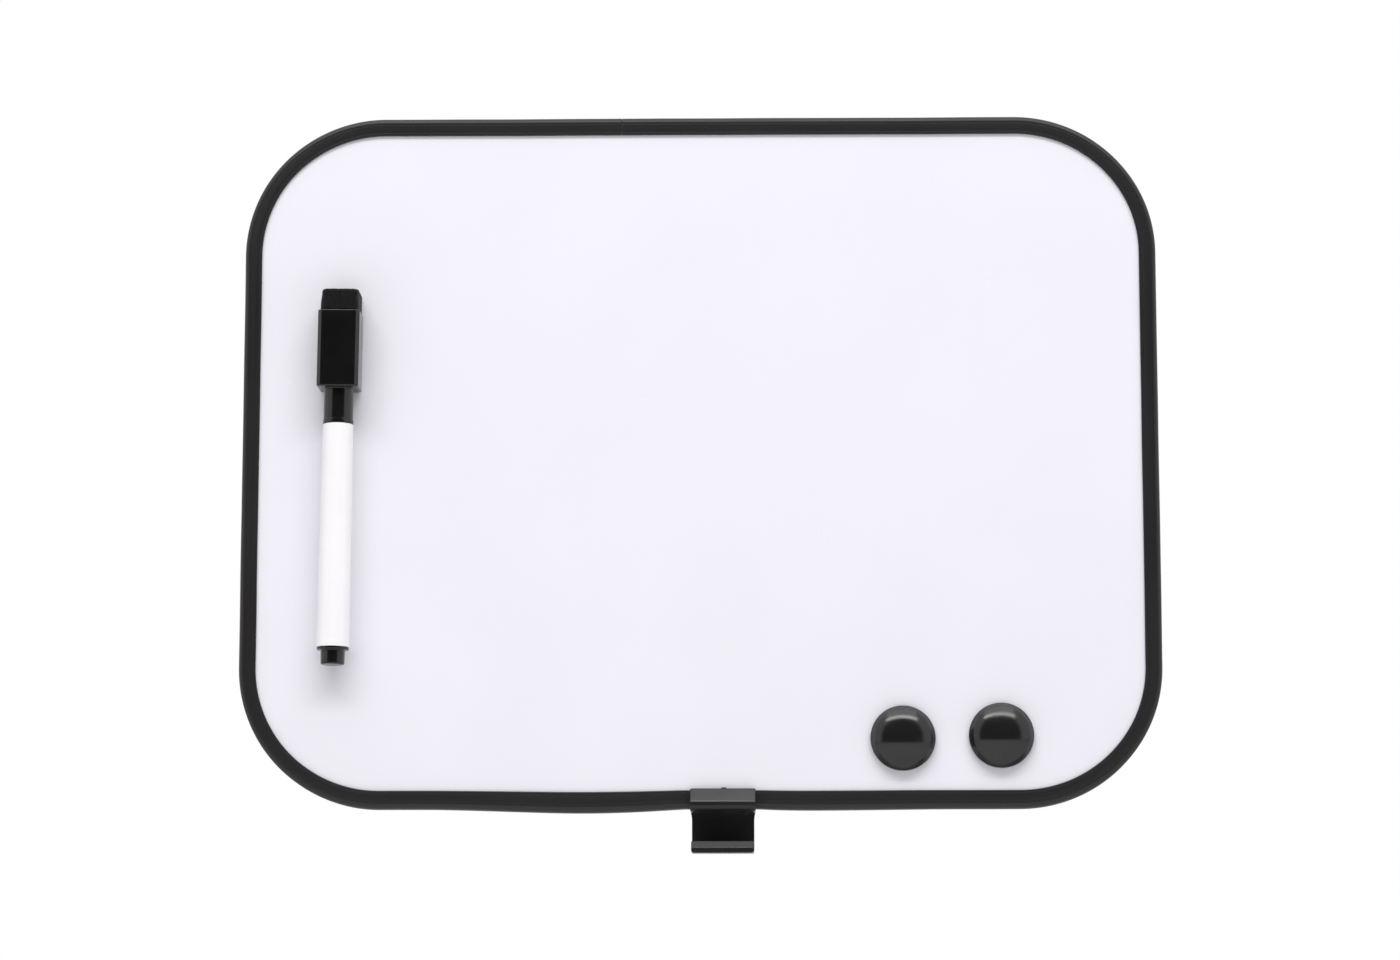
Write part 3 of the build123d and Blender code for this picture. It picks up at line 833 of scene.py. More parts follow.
def plated_nickel():
    """Nickel plating: bright, with fine scratches and slow changes of gloss."""
    material, tree, shader, place = new_material("plated_nickel", 0.22, Metallic=1.0)
    grain = effect(tree, "Grain", Place=place, Scale=2500.0, Slow_Scale=200.0)
    scuffs = effect(tree, "Scuffs", Place=place, Scale=400.0, Width=0.012, Share=0.6)
    tone = blend(tree, grain["Variation"], (0.60, 0.58, 0.54, 1.0), (0.68, 0.66, 0.62, 1.0))
    feed(tree, shader.inputs["Base Color"], tone)
    gloss = sum_of(tree, "MULTIPLY_ADD", grain["Variation"], 0.12, 0.16)
    feed(tree, shader.inputs["Roughness"], sum_of(tree, "MULTIPLY_ADD", scuffs["Mask"], 0.25, gloss))
    raise_surface(tree, shader, grain["Height"], 0.000003)
    return material


def clear_wrap():
    """Thin film: clear, with faint creases."""
    material, tree, shader, place = new_material("clear_wrap", 0.12, Base_Color=(0.80, 0.84, 0.86, 1.0))
    grain = effect(tree, "Grain", Place=place, Scale=1200.0, Slow_Scale=350.0)
    veil = sum_of(tree, "MULTIPLY_ADD", grain["Variation"], 0.2, 0.25)
    feed(tree, shader.inputs["Alpha"], veil)
    raise_surface(tree, shader, grain["Height"], 0.00004)
    return material


def inked_fibre(name, colour, ink, from_z, to_z):
    """Bundled fibres soaked with ink: the ink's colour comes in between two heights."""
    material, tree, shader, place = new_material(name, 0.8)
    fibres = effect(tree, "Fibres", Place=place, Scale=4500.0, Tangle=0.3)
    height = add(tree, "ShaderNodeSeparateXYZ", Vector=place).outputs[2]
    wavy = sum_of(tree, "MULTIPLY_ADD", fibres["Height"], 0.001, height)
    soaked = spread(tree, wavy, from_z, to_z, 0.0, 1.0)
    tone = blend(tree, soaked, rgba(colour), rgba(ink))
    feed(tree, shader.inputs["Base Color"], blend(tree, fibres["Mask"], tone, rgba(ink, 1.6)))
    raise_surface(tree, shader, fibres["Height"], 0.00004)
    return material


def perimeter():
    """Stations round the board, clockwise from the seam.

    Each has a point of the core rectangle, which joins the centres of the four corners, and the
    angle of the outward normal there. Along a side the point moves and the angle stays. In a
    corner the point stays and the angle turns. Returns points, normals and the distance run.
    """
    core_x = BOARD_WIDTH / 2 - CORNER_RADIUS
    core_z = BOARD_HEIGHT / 2 - CORNER_RADIUS
    corners = [(core_x, core_z), (core_x, -core_z), (-core_x, -core_z), (-core_x, core_z)]
    first = (SEAM_X + SEAM_GAP / 2, core_z)
    last = (SEAM_X - SEAM_GAP / 2, core_z)
    joiner = [(JOINER_END_X - 0.6, core_z), (JOINER_END_X + 0.6, core_z)]
    legs = [
        (first, joiner[0], 90, 90, 12),
        (joiner[0], joiner[1], 90, 90, 12),
        (joiner[1], corners[0], 90, 90, 38),
        (corners[0], corners[0], 90, 0, 52),
        (corners[0], corners[1], 0, 0, 44),
        (corners[1], corners[1], 0, -90, 52),
        (corners[1], corners[2], -90, -90, 84),
        (corners[2], corners[2], -90, -180, 52),
        (corners[2], corners[3], -180, -180, 44),
        (corners[3], corners[3], -180, -270, 52),
        (corners[3], last, -270, -270, 30),
    ]
    rows = [np.linspace((*a, angle), (*b, end), steps, endpoint=False) for a, b, angle, end, steps in legs]
    rows = np.vstack(rows + [(*last, -270)])
    angle = np.radians(rows[:, 2])
    normal = np.column_stack([np.cos(angle), np.sin(angle)])
    edge = rows[:, :2] + normal * CORNER_RADIUS
    run = np.concatenate([[0], np.cumsum(np.linalg.norm(np.diff(edge, axis=0), axis=1))])
    return rows[:, :2], normal, run


def hump(x, start, end, rise, fall):
    """A smooth hump between two places: t^rise (1 - t)^fall, scaled so that its top is 1."""
    t = np.clip((x - start) / (end - start), 0, 1)
    peak = rise / (rise + fall)
    return t ** rise * (1 - t) ** fall / (peak ** rise * (1 - peak) ** fall)


def edging_shell(settings):
    """The channel strip: its closed section carried round the board.

    A section point at distance in from the edge stands at core + normal * (radius - in + push),
    where push is the slow ripple all round, the sag of the lower run and the bulge of the right
    side. The sag shrinks to two fifths at the lip. The front face has a low crown and two shallow
    grooves, is narrower on the upright sides, and dips a little at the joiner's end.
    """
    corners = [
        (EDGING_FACE, EDGING_FRONT), (0, EDGING_FRONT), (0, EDGING_REAR), (EDGING_FACE, EDGING_REAR),
        (EDGING_FACE, CHANNEL_REAR), (EDGING_WALL, CHANNEL_REAR),
        (EDGING_WALL, SHEET_FRONT), (EDGING_FACE, SHEET_FRONT),
    ]
    radii = (0.35, 1.8, 0.9, 0.3, 0.05, 0.1, 0.1, 0.1)
    section = rounded_loop(corners, radii, 6, (24, 4, 4, 3, 4, 4, 24, 3))
    inset, out = section[:, 0], section[:, 1]
    core, normal, run = perimeter()
    phase = run[:, None] * 2 * np.pi / run[-1]
    ripple = np.sin(phase * 7 + 0.4) + 0.6 * np.sin(phase * 16 + 2.0) + 0.4 * np.sin(phase * 29 + 5.0)
    ripple = ripple * settings.ripple / MM / 2
    lower = normal[:, 1:] < -0.999
    x = core[:, :1]
    sag = settings.left_sag * hump(x, LEFT_SAG_FROM, LEFT_SAG_TO, 2.1, 1.3)
    sag = sag + settings.right_sag * hump(-x, -RIGHT_SAG_FROM, -RIGHT_SAG_TO, 2.6, 1.0)
    push = ripple + np.where(lower, sag / MM, 0.0) * (1 - 0.6 * inset / EDGING_FACE)
    push = push + settings.right_bulge / MM * np.clip(normal[:, :1], 0, 1) ** 2
    narrow = 1 - settings.side_trim / MM / EDGING_FACE * normal[:, :1] ** 2
    front = np.clip((out - SHEET_FRONT - 0.5) / 0.5, 0, 1)
    inner_groove = np.exp(-(((inset - INNER_GROOVE_INSET) / GROOVE_WIDTH) ** 2))
    groove = inner_groove + 0.8 * np.exp(-(((inset - OUTER_GROOVE_INSET) / GROOVE_WIDTH) ** 2))
    crown = CROWN_HEIGHT * np.sin(np.pi * np.clip(inset / EDGING_FACE, 0, 1))
    lift = front * (crown - CROWN_HEIGHT - GROOVE_DEPTH * groove)
    upper = normal[:, 1:] > 0.999
    mark = np.exp(-(((x - JOINER_END_X) / JOINER_MARK_WIDTH) ** 2)) * upper
    lift = lift - JOINER_MARK_DEPTH * mark * front
    reach = CORNER_RADIUS - inset * narrow + push
    across = core[:, None, :] + normal[:, None, :] * reach[..., None]
    depth = np.broadcast_to(out + lift, reach.shape)
    points = np.stack([across[..., 0], depth, across[..., 1]], axis=-1)
    around = np.concatenate([[0], np.cumsum(np.linalg.norm(np.diff(section, axis=0), axis=1))])
    pattern = np.stack(np.broadcast_arrays(run[:, None] * MM, around * MM, 0.0), axis=-1)
    faces = carried_wall(len(core), len(section))
    return (points.reshape(-1, 3), faces), pattern.reshape(-1, 3)


def clip_half_width(z, top):
    """Half the clip's width at a height: the hook's, falling in a hollow curve to the trough's below
    the web, less the round of the upper and lower corners."""
    fall = np.clip((NARROWING_START - z) / NARROWING_LENGTH, 0, 1)
    half = CRADLE_WIDTH / 2 + (CLIP_WIDTH - CRADLE_WIDTH) / 2 * (1 - fall) ** 2
    for radius, rise in ((CRADLE_CORNER, z - CRADLE_BOTTOM), (LEG_CORNER, top - z)):
        left = radius - np.clip(rise, 0, radius)
        half = half - radius + np.sqrt(np.maximum(radius ** 2 - left ** 2, 0))
    return half


def clip_wall(loop, top, side_round):
    """A wall's side view carried across the clip's width.

    Stations near each side turn through a quarter circle: the outline draws in by
    radius (1 - sin a) while the side comes in by radius (1 - cos a).
    """
    angle = np.linspace(0, np.pi / 2, 6)
    away = side_round * (1 - np.cos(angle))
    drawn = side_round * (1 - np.sin(angle))
    middle = np.linspace(-1, 1, 9)[1:-1]
    sign = np.concatenate([-np.ones(len(angle)), middle, np.ones(len(angle))])
    away = np.concatenate([away, np.full(len(middle), side_round), away[::-1]])
    drawn = np.concatenate([drawn, np.zeros(len(middle)), drawn[::-1]])
    outline = loop[None] - outward(loop)[None] * drawn[:, None, None]
    half = clip_half_width(outline[..., 1], top) - away[:, None]
    x = CLIP_X + sign[:, None] * half
    points = np.stack([x, outline[..., 0], outline[..., 1]], axis=-1)
    return points.reshape(-1, 3), carried_wall(len(sign), len(loop))


def clip_shells(settings):
    """The clip: a rear wall that turns into the trough and its lip, a web with the front leg, and the
    stub of the moulding gate on top of that leg."""
    face = CLIP_REAR + CLIP_WALL
    lip = face + CRADLE_DEPTH
    lean = (LIP_TOP - LIP_FACE_TOP) * np.tan(LIP_ANGLE)
    trough = [
        (CLIP_REAR, REAR_LEG_TOP), (CLIP_REAR, CRADLE_BOTTOM + CRADLE_FALL),
        (lip + CLIP_WALL, CRADLE_BOTTOM), (lip + CLIP_WALL, LIP_FACE_TOP),
        (lip + CLIP_WALL - lean, LIP_TOP), (lip - lean, LIP_TOP),
        (lip - 0.3 * lean, LIP_FACE_TOP + 0.2), (lip, CRADLE_FLOOR), (face, CRADLE_FLOOR + CRADLE_FALL),
        (face, REAR_LEG_TOP),
    ]
    trough_rounds = (0.3, 2.1, 0.3, 1.2, 0.25, 0.25, 0.4, 1.0, 1.1, 0.3)
    trough_loop = rounded_loop(trough, trough_rounds, 9, (26, 12, 3, 6, 3, 6, 3, 12, 26, 3))
    leg = EDGING_FRONT + CLIP_PLAY
    root = face - HOOK_ROOT
    outer_lean = (FRONT_LEG_TOP - WEB_BOTTOM) * np.tan(LEG_ANGLE)
    inner_lean = (FRONT_LEG_TOP - WEB_TOP) * np.tan(LEG_ANGLE)
    hook = [
        (root, WEB_BOTTOM), (leg + CLIP_WALL + outer_lean, WEB_BOTTOM), (leg + CLIP_WALL, FRONT_LEG_TOP),
        (leg, FRONT_LEG_TOP), (leg + inner_lean, WEB_TOP), (root, WEB_TOP),
    ]
    hook_loop = rounded_loop(hook, (0.05, 2.1, 0.22, 0.22, 1.1, 0.05), 9, (10, 10, 3, 10, 10, 3))
    side_round = settings.side_round / MM
    gate_out = leg + CLIP_WALL / 2
    half_x, half_y = GATE_WIDTH / 2, GATE_DEPTH / 2
    gate_corners = [(-half_x, half_y), (half_x, half_y), (half_x, -half_y), (-half_x, -half_y)]
    gate_loop = rounded_loop(gate_corners, (GATE_CORNER,) * 4, 4, (5, 3, 5, 3))
    rows = np.array([(1.0, -GATE_ROOT), (1.0, GATE_HEIGHT - 0.1), (0.9, GATE_HEIGHT), (0.0, GATE_HEIGHT)])
    spread_out = rows[:, None, :1] * gate_loop[None]
    level = np.broadcast_to(FRONT_LEG_TOP + rows[:, None, 1], spread_out.shape[:2])
    gate = np.stack([GATE_X + spread_out[..., 0], gate_out + spread_out[..., 1], level], axis=-1)
    return [
        clip_wall(trough_loop, REAR_LEG_TOP, side_round),
        clip_wall(hook_loop, FRONT_LEG_TOP, side_round),
        shell(gate, close_columns=True),
    ]


def dome_profile(shoulder_round):
    """Half a section of a magnet's dome.

    The crown is an arc level at its top: height = top - R + sqrt(R^2 - radius^2), with R from the
    shoulder's place. Below it are the sloped rim, the straight base and the disc's recess.
    """
    rise = MAGNET_HEIGHT - MAGNET_SHOULDER_HEIGHT
    crown = (MAGNET_SHOULDER_RADIUS ** 2 + rise ** 2) / (2 * rise)
    radius = np.linspace(0, MAGNET_CROWN_END, 36)
    height = MAGNET_HEIGHT - crown + np.sqrt(crown ** 2 - radius ** 2)
    corners = [
        (radius[-1], height[-1]),
        (MAGNET_SHOULDER_RADIUS, MAGNET_SHOULDER_HEIGHT),
        (MAGNET_RADIUS, MAGNET_BASE),
        (MAGNET_RADIUS, 0),
        (MAGNET_BORE, 0),
        (MAGNET_BORE, MAGNET_RECESS),
        (0, MAGNET_RECESS),
    ]
    rim = rounded_line(corners, (shoulder_round, 0.3, 0.12, 0.08, 0.05), 7)
    return np.vstack([np.column_stack([radius, height])[:-1], rim])


def block_outline():
    """The cap block's outline about the axis: a rectangle with cut corners and slightly rounded edges."""
    half_x, half_y, cut = CAP_WIDTH / 2, CAP_DEPTH / 2, CAP_CHAMFER
    corners = [
        (half_x - cut, half_y), (half_x, half_y - cut), (half_x, cut - half_y), (half_x - cut, -half_y),
        (cut - half_x, -half_y), (-half_x, cut - half_y), (-half_x, half_y - cut), (cut - half_x, half_y),
    ]
    return rounded_loop(corners, (CAP_CORNER,) * 8, 4, (3, 16, 3, 16, 3, 16, 3, 15))


def ring_stack(rings, outline):
    """Rings stacked along the marker's axis.

    A ring is (kind, size, height). A block ring is the outline drawn in by size on every side, and
    a round ring has the outline's directions at a radius of size.
    """
    half = np.abs(outline).max(axis=0)
    directions = unit(outline)
    levels = []
    for kind, size, height in rings:
        flat = outline * (half - size) / half if kind == "block" else directions * size
        levels.append(np.column_stack([flat, np.full(len(flat), height)]))
    return shell(on_marker(np.stack(levels)), close_columns=True)


def fillet_rings(inner_height, outer_height, size):
    """Block rings round an edge of a radius: drawn in by size (1 - sin a) while the height moves by
    size (1 - cos a) towards the end face."""
    angle = np.linspace(np.pi / 2, 0, 6)
    step = np.sign(outer_height - inner_height)
    return [("block", size * (1 - np.sin(a)), outer_height - step * size * (1 - np.cos(a))) for a in angle]


def cap_rings():
    """The cap from the end of its bore, down and out over the skirt, and up the block to the socket."""
    foot = SHOULDER_Z
    flare_top = SHOULDER_Z + SKIRT_FLARE_LENGTH
    socket = CAP_TOP - SOCKET_DEPTH
    bore = [
        (0.0, CAP_BORE_TOP), (CAP_BORE, CAP_BORE_TOP), (CAP_BORE, foot + 0.2),
        (CAP_BORE + 0.15, foot + 0.03),
    ]
    flare = [
        (SKIRT_FLARE_RADIUS - 0.2, foot), (SKIRT_FLARE_RADIUS - 0.05, foot + 0.05),
        (SKIRT_FLARE_RADIUS, foot + 0.2), (SKIRT_FLARE_RADIUS, foot + 0.6),
    ]
    skirt = [
        (SKIRT_RADIUS + 0.15, flare_top - 0.35), (SKIRT_RADIUS + 0.03, flare_top - 0.05),
        (SKIRT_RADIUS, flare_top + 0.2), (SKIRT_RADIUS, flare_top + 0.4),
        (SKIRT_RADIUS, SKIRT_TOP - 0.45), (SKIRT_RADIUS, SKIRT_TOP - 0.25),
        (SKIRT_RADIUS + 0.08, SKIRT_TOP - 0.07), (SKIRT_RADIUS + 0.25, SKIRT_TOP),
        (SKIRT_RADIUS + 0.45, SKIRT_TOP),
    ]
    return [
        *(("round", radius, height) for radius, height in bore + flare + skirt),
        *fillet_rings(CAP_TOP, SKIRT_TOP, CAP_EDGE)[::-1],
        ("block", 0.0, SKIRT_TOP + CAP_EDGE + 0.25), ("block", 0.0, CAP_TOP - CAP_EDGE - 0.25),
        *fillet_rings(SKIRT_TOP, CAP_TOP, CAP_EDGE),
        ("block", SOCKET_WALL - 0.08, CAP_TOP), ("block", SOCKET_WALL, CAP_TOP - 0.08),
        ("block", SOCKET_WALL, socket + 0.1), ("block", SOCKET_WALL + 0.1, socket),
        ("round", 0.0, socket),
    ]


def felt_points():
    """The felt block: rounded-square rings from its foot in the socket to its top.

    The left side leans in towards the top, and slow ripples push the surface in and out.
    """
    half_x, half_y, edge = FELT_HALF_WIDTH, FELT_HALF_DEPTH, FELT_EDGE
    corners = [(half_x, half_y), (half_x, -half_y), (-half_x, -half_y), (-half_x, half_y)]
    outline = rounded_loop(corners, (FELT_CORNER,) * 4, 8, (22, 22, 22, 21))
    foot = CAP_TOP - SOCKET_DEPTH + 0.05
    top = CAP_TOP + FELT_RISE
    turn = np.linspace(0, np.pi / 2, 8)
    sides = np.linspace(CAP_TOP + 0.35, top - edge, 24)
    scales = [0.0, 0.5, 0.92, 0.92, 0.92, 0.96, 1.0] + [1.0] * len(sides)
    scales += list(1 - edge / half_x * (1 - np.cos(turn[1:])))
    scales += list(np.linspace(1 - edge / half_x, 0, 14)[1:])
    heights = [foot, foot, foot, CAP_TOP - 1.0, CAP_TOP + 0.02, CAP_TOP + 0.05, CAP_TOP + 0.2] + list(sides)
    heights += list(top - edge + edge * np.sin(turn[1:])) + [top] * 13
    scales, heights = np.array(scales), np.array(heights)
    flat = outline[None] * scales[:, None, None]
    rise = np.clip((heights - CAP_TOP) / FELT_RISE, 0, 1)[:, None]
    lean = (0.2 + 0.45 * rise) * np.clip(-flat[..., 0] / half_x, 0, 1)
    x = flat[..., 0] + lean
    z = np.broadcast_to(heights[:, None], x.shape)
    points = on_marker(np.stack([x, flat[..., 1], z], axis=-1))
    centre = on_marker([0, 0, CAP_TOP + FELT_RISE * 0.4])
    away = unit(points - centre)
    push = ripples(points, (3.1, 2.3, 1.7, 1.3, 0.9, 0.7, 0.55), 0.14, 3) - 0.03
    return points + away * (push * np.clip((heights[:, None] - CAP_TOP) / 0.5, 0, 1))[..., None], away


def hair_shells(points, away, count, length, seed):
    """Loose hairs on the felt: thin three-sided tubes, pointed at both ends, on random points of it.

    A hair's line is root + length (s direction + s^2 bend), with s from 0 at the root to 1 at the tip.
    """
    draw = np.random.default_rng(seed)
    rows, columns = points.shape[:2]
    first_wall_row = 7
    picked = (draw.integers(first_wall_row, rows - 1, count), draw.integers(0, columns, count))
    root = points[picked]
    direction = unit(away[picked] + draw.normal(0, 0.7, (count, 3)))
    bend = draw.normal(0, 0.5, (count, 3))
    size = length * draw.uniform(0.35, 1.0, count) ** 1.5
    share = np.linspace(0, 1, 5)[None, :, None]
    line = root[:, None] + size[:, None, None] * (share * direction[:, None] + share ** 2 * bend[:, None])
    side = unit(np.cross(direction, np.array([0.3, 0.5, 0.8])))
    other = np.cross(direction, side)
    angle = np.linspace(0, 2 * np.pi, 3, endpoint=False)
    ring = np.cos(angle)[None, :, None] * side[:, None] + np.sin(angle)[None, :, None] * other[:, None]
    thick = np.array([0.0, 0.016, 0.012, 0.008, 0.0])[None, :, None, None]
    tube = line[:, :, None] + thick * ring[:, None]
    starts = (np.arange(count) * 15)[:, None, None]
    return tube.reshape(-1, 3), (grid_faces(5, 3, close_columns=True)[None] + starts).reshape(-1, 4)


def pad_shell(x, z, draw_in):
    """A foam square: rounded-square rings from its rear face to its front face.

    Halfway up, the cut side draws in by draw_in * sin(pi t), t being the share of the thickness.
    """
    half = PAD_SIZE / 2
    corners = [(half, half), (half, -half), (-half, -half), (-half, half)]
    outline = rounded_loop(corners, (PAD_ROUND,) * 4, 6, (24, 24, 24, 23))
    share = np.linspace(0, 1, 11)
    edge = 1 - draw_in * (np.sin(np.pi * share) + 0.25 * (share * (1 - share) == 0)) / half
    scales = np.concatenate([[0.0, 0.5, 0.97], edge, [0.97, 0.5, 0.0]])
    out = PAD_REAR + (PAD_FRONT - PAD_REAR) * np.concatenate([[0, 0, 0], share, [1, 1, 1]])
    flat = outline[None] * scales[:, None, None]
    depth = np.broadcast_to(out[:, None], flat.shape[:2])
    points = np.stack([x + flat[..., 0], depth, z + flat[..., 1]], axis=-1)
    rough = ripples(points, (2.2, 1.4, 0.9, 0.6), 0.05, 11)
    cut_side = ((np.abs(scales - 1) < 0.025) & (out > PAD_REAR) & (out < PAD_FRONT))[:, None]
    centre = np.array([x, 0, z])
    away = unit((points - centre) * (1, 0, 1) + (0, 1e-9, 0))
    return shell(points + away * np.where(cut_side, rough, 0.0)[..., None], close_columns=True)


class WHITEBOARD_OT_panel(bpy.types.Operator):
    """Give the board's layers, its joiner and the pads' liners their finishes"""

    bl_idname = "whiteboard.panel"
    bl_label = "Panel"

    def execute(self, context):
        looks = context.scene.whiteboard
        dress(coated_steel(looks.panel.coat_colour), "writing_sheet")
        dress(pressed_fibreboard(looks.panel.core_colour), "core_panel")
        dress(plain_paper("back_paper", looks.panel.paper_colour, 0.85, 0.12), "backing_sheet")
        dress(moulded_plastic("joiner_strip", (0.04, 0.04, 0.042), 0.5, 3000.0, 0.00001), "frame_joiner")
        liner = plain_paper("waxed_liner", looks.pads.liner_colour, 0.42, 0.05)
        dress(liner, *(name.replace("_pad", "_liner") for name in PAD_PLACES))
        return {"FINISHED"}


class WHITEBOARD_OT_edging(bpy.types.Operator):
    """Make the soft channel strip round the board"""

    bl_idname = "whiteboard.edging"
    bl_label = "Edging"

    def execute(self, context):
        looks = context.scene.whiteboard.edging
        wall, run = edging_shell(looks)
        strip = make_piece("edging_strip", [wall], 45.0, run)
        settle(strip, "board", "soft_black_plastic", extruded_strip(looks.colour), "edge_frame")
        return {"FINISHED"}


class WHITEBOARD_OT_clip(bpy.types.Operator):
    """Make the marker clip"""

    bl_idname = "whiteboard.clip"
    bl_label = "Marker clip"

    def execute(self, context):
        looks = context.scene.whiteboard.clip
        clip = make_piece("clip_shape", clip_shells(looks), 38.0)
        plastic = moulded_plastic(
            "clip_moulding", looks.colour, 0.19, 2600.0, 0.000004, 0.05, 0.2, Specular_IOR_Level=0.3)
        settle(clip, "clip", "clip_plastic", plastic, "marker_clip")
        return {"FINISHED"}


class WHITEBOARD_OT_magnets(bpy.types.Operator):
    """Make the two domes and finish the discs inside them"""

    bl_idname = "whiteboard.magnets"
    bl_label = "Magnets"

    def execute(self, context):
        looks = context.scene.whiteboard.magnets
        profile = dome_profile(looks.shoulder_round / MM)
        plastic = moulded_plastic("dome_moulding", looks.colour, 0.16, 1100.0, 0.000002, 0.08, 0.16)
        ferrite = sintered_ferrite()
        for name, place in MAGNET_PLACES.items():
            dome = make_piece(name + "_dome", [turned(profile, 128, place)], 30.0)
            settle(dome, name, "magnet_plastic", plastic, name + "_cap")
            dress(ferrite, name + "_disc")
        return {"FINISHED"}


class WHITEBOARD_OT_marker(bpy.types.Operator):
    """Make the marker's barrel, nose, nib and end plug, and finish its ink store"""

    bl_idname = "whiteboard.marker"
    bl_label = "Marker"

    def execute(self, context):
        looks = context.scene.whiteboard.marker
        barrel_line = [
            (BARREL_BORE, SHOULDER_Z), (BARREL_TOP_RADIUS, SHOULDER_Z), (BARREL_BOTTOM_RADIUS, BARREL_BOTTOM),
            (BARREL_BORE, BARREL_BOTTOM), (BARREL_BORE, SHOULDER_Z),
        ]
        barrel = turned(rounded_line(barrel_line, (0.35, 0.2, 0.08)), 96)
        white = moulded_plastic("barrel_tube", looks.barrel_colour, 0.22, 900.0, 0.000002, 0.05, 0.12, 0.008)
        settle(make_piece("barrel_tube", [barrel]), "marker", "white_plastic", white, "marker_barrel")
        nose_line = [
            (NIB_RADIUS + 0.05, NOSE_TIP), (NOSE_TIP_RADIUS, NOSE_TIP), (NOSE_RADIUS, NOSE_CONE_FOOT),
            (NOSE_RADIUS, SHOULDER_Z), (BARREL_BORE - 0.05, SHOULDER_Z), (BARREL_BORE - 0.05, STUB_BOTTOM),
            (NIB_RADIUS + 0.05, STUB_BOTTOM), (NIB_RADIUS + 0.05, NOSE_TIP),
        ]
        nose = turned(rounded_line(nose_line, (0.18, 0.5, 0.1, 0.03, 0.2, 0.1)), 72)
        pale = moulded_plastic("nose_moulding", (0.78, 0.78, 0.77), 0.45, 2200.0, 0.00001, contrast=0.02)
        settle(make_piece("nose_cone", [nose]), "marker", "nose_plastic", pale, "marker_nose")
        nib_line = [(0, NIB_BOTTOM), (NIB_RADIUS, NIB_BOTTOM), (NIB_RADIUS, NIB_TOP), (0, NIB_TOP)]
        nib = turned(rounded_line(nib_line, (0.1, 1.7), 9), 40)
        ink = inked_fibre("nib_bullet", (0.10, 0.10, 0.11), (0.008, 0.008, 0.010), 0.028, 0.031)
        settle(make_piece("nib_bullet", [nib]), "marker", "nib_fibre", ink, "marker_nib")
        flange = BARREL_BOTTOM - PLUG_FLANGE_THICKNESS
        plug_line = [
            (0, flange - PLUG_KNOB_LENGTH), (PLUG_KNOB_RADIUS - 0.1, flange - PLUG_KNOB_LENGTH),
            (PLUG_KNOB_RADIUS, flange), (PLUG_FLANGE_RADIUS, flange), (PLUG_FLANGE_RADIUS, BARREL_BOTTOM),
            (PLUG_STUB_RADIUS, BARREL_BOTTOM), (PLUG_STUB_RADIUS, PLUG_STUB_TOP),
            (PLUG_STUB_BORE, PLUG_STUB_TOP), (PLUG_STUB_BORE, BARREL_BOTTOM), (0, BARREL_BOTTOM),
        ]
        radii = (0.5, 0.25, 0.4, 0.08, 0.08, 0.2, 0.1, 0.1)
        plug = turned(rounded_line(plug_line, radii), 80)
        black = moulded_plastic("plug_moulding", looks.cap_colour, 0.2, 1500.0, 0.000004, 0.05, 0.15)
        settle(make_piece("plug_shape", [plug]), "marker", "cap_plastic", black, "end_plug")
        store = inked_fibre("store_rod", (0.22, 0.22, 0.25), (0.03, 0.03, 0.04), -0.045, 0.0)
        dress(store, "ink_store")
        dress(clear_wrap(), "store_wrap")
        return {"FINISHED"}


class WHITEBOARD_OT_marker_cap(bpy.types.Operator):
    """Make the marker's cap with its felt eraser, and finish the magnet in it"""

    bl_idname = "whiteboard.marker_cap"
    bl_label = "Marker cap and eraser"

    def execute(self, context):
        looks = context.scene.whiteboard.marker
        cap = make_piece("cap_shape", [ring_stack(cap_rings(), block_outline())], 32.0)
        black = moulded_plastic("cap_moulding", looks.cap_colour, 0.16, 1300.0, 0.000003, 0.06, 0.14)
        settle(cap, "cap", "cap_plastic", black, "marker_cap")
        dress(plated_nickel(), "cap_magnet")
        points, away = felt_points()
        hairs = hair_shells(points, away, looks.hair_count, looks.hair_length / MM, looks.seed)
        body = shell(points, close_columns=True)
        felt = make_piece("felt_block", [body, hairs], 60.0)
        settle(felt, "cap", "felt", pressed_felt(looks.felt_colour), "eraser_pad")
        return {"FINISHED"}


class WHITEBOARD_OT_pads(bpy.types.Operator):
    """Make the four foam mounting pads"""

    bl_idname = "whiteboard.pads"
    bl_label = "Foam pads"

    def execute(self, context):
        looks = context.scene.whiteboard.pads
        foam = closed_cell_foam(looks.foam_colour)
        for name, (x, z) in PAD_PLACES.items():
            pad = make_piece(name + "_foam", [pad_shell(x, z, looks.draw_in / MM)], 50.0)
            settle(pad, "board", "foam", foam, name)
        return {"FINISHED"}


def stage_mesh(name, corners, material):
    """A flat four-sided stage piece."""
    mesh = bpy.data.meshes.new(name)
    mesh.from_pydata(corners, [], [(0, 1, 2, 3)])
    card = bpy.data.objects.new(name, mesh)
    bpy.context.scene.collection.objects.link(card)
    card.data.materials.append(material)
    return card


def area_lamp(name, shape, power):
    """A rectangular lamp that points at the board's centre."""
    place, width, height = shape
    light = bpy.data.lights.new(name, "AREA")
    light.shape = "RECTANGLE"
    light.size = width
    light.size_y = height
    light.energy = power
    lamp = bpy.data.objects.new(name, light)
    lamp.location = place
    aim = Vector((0, 0, 0)) - Vector(place)
    lamp.rotation_euler = aim.to_track_quat("-Z", "Y").to_euler()
    bpy.context.scene.collection.objects.link(lamp)
    return lamp


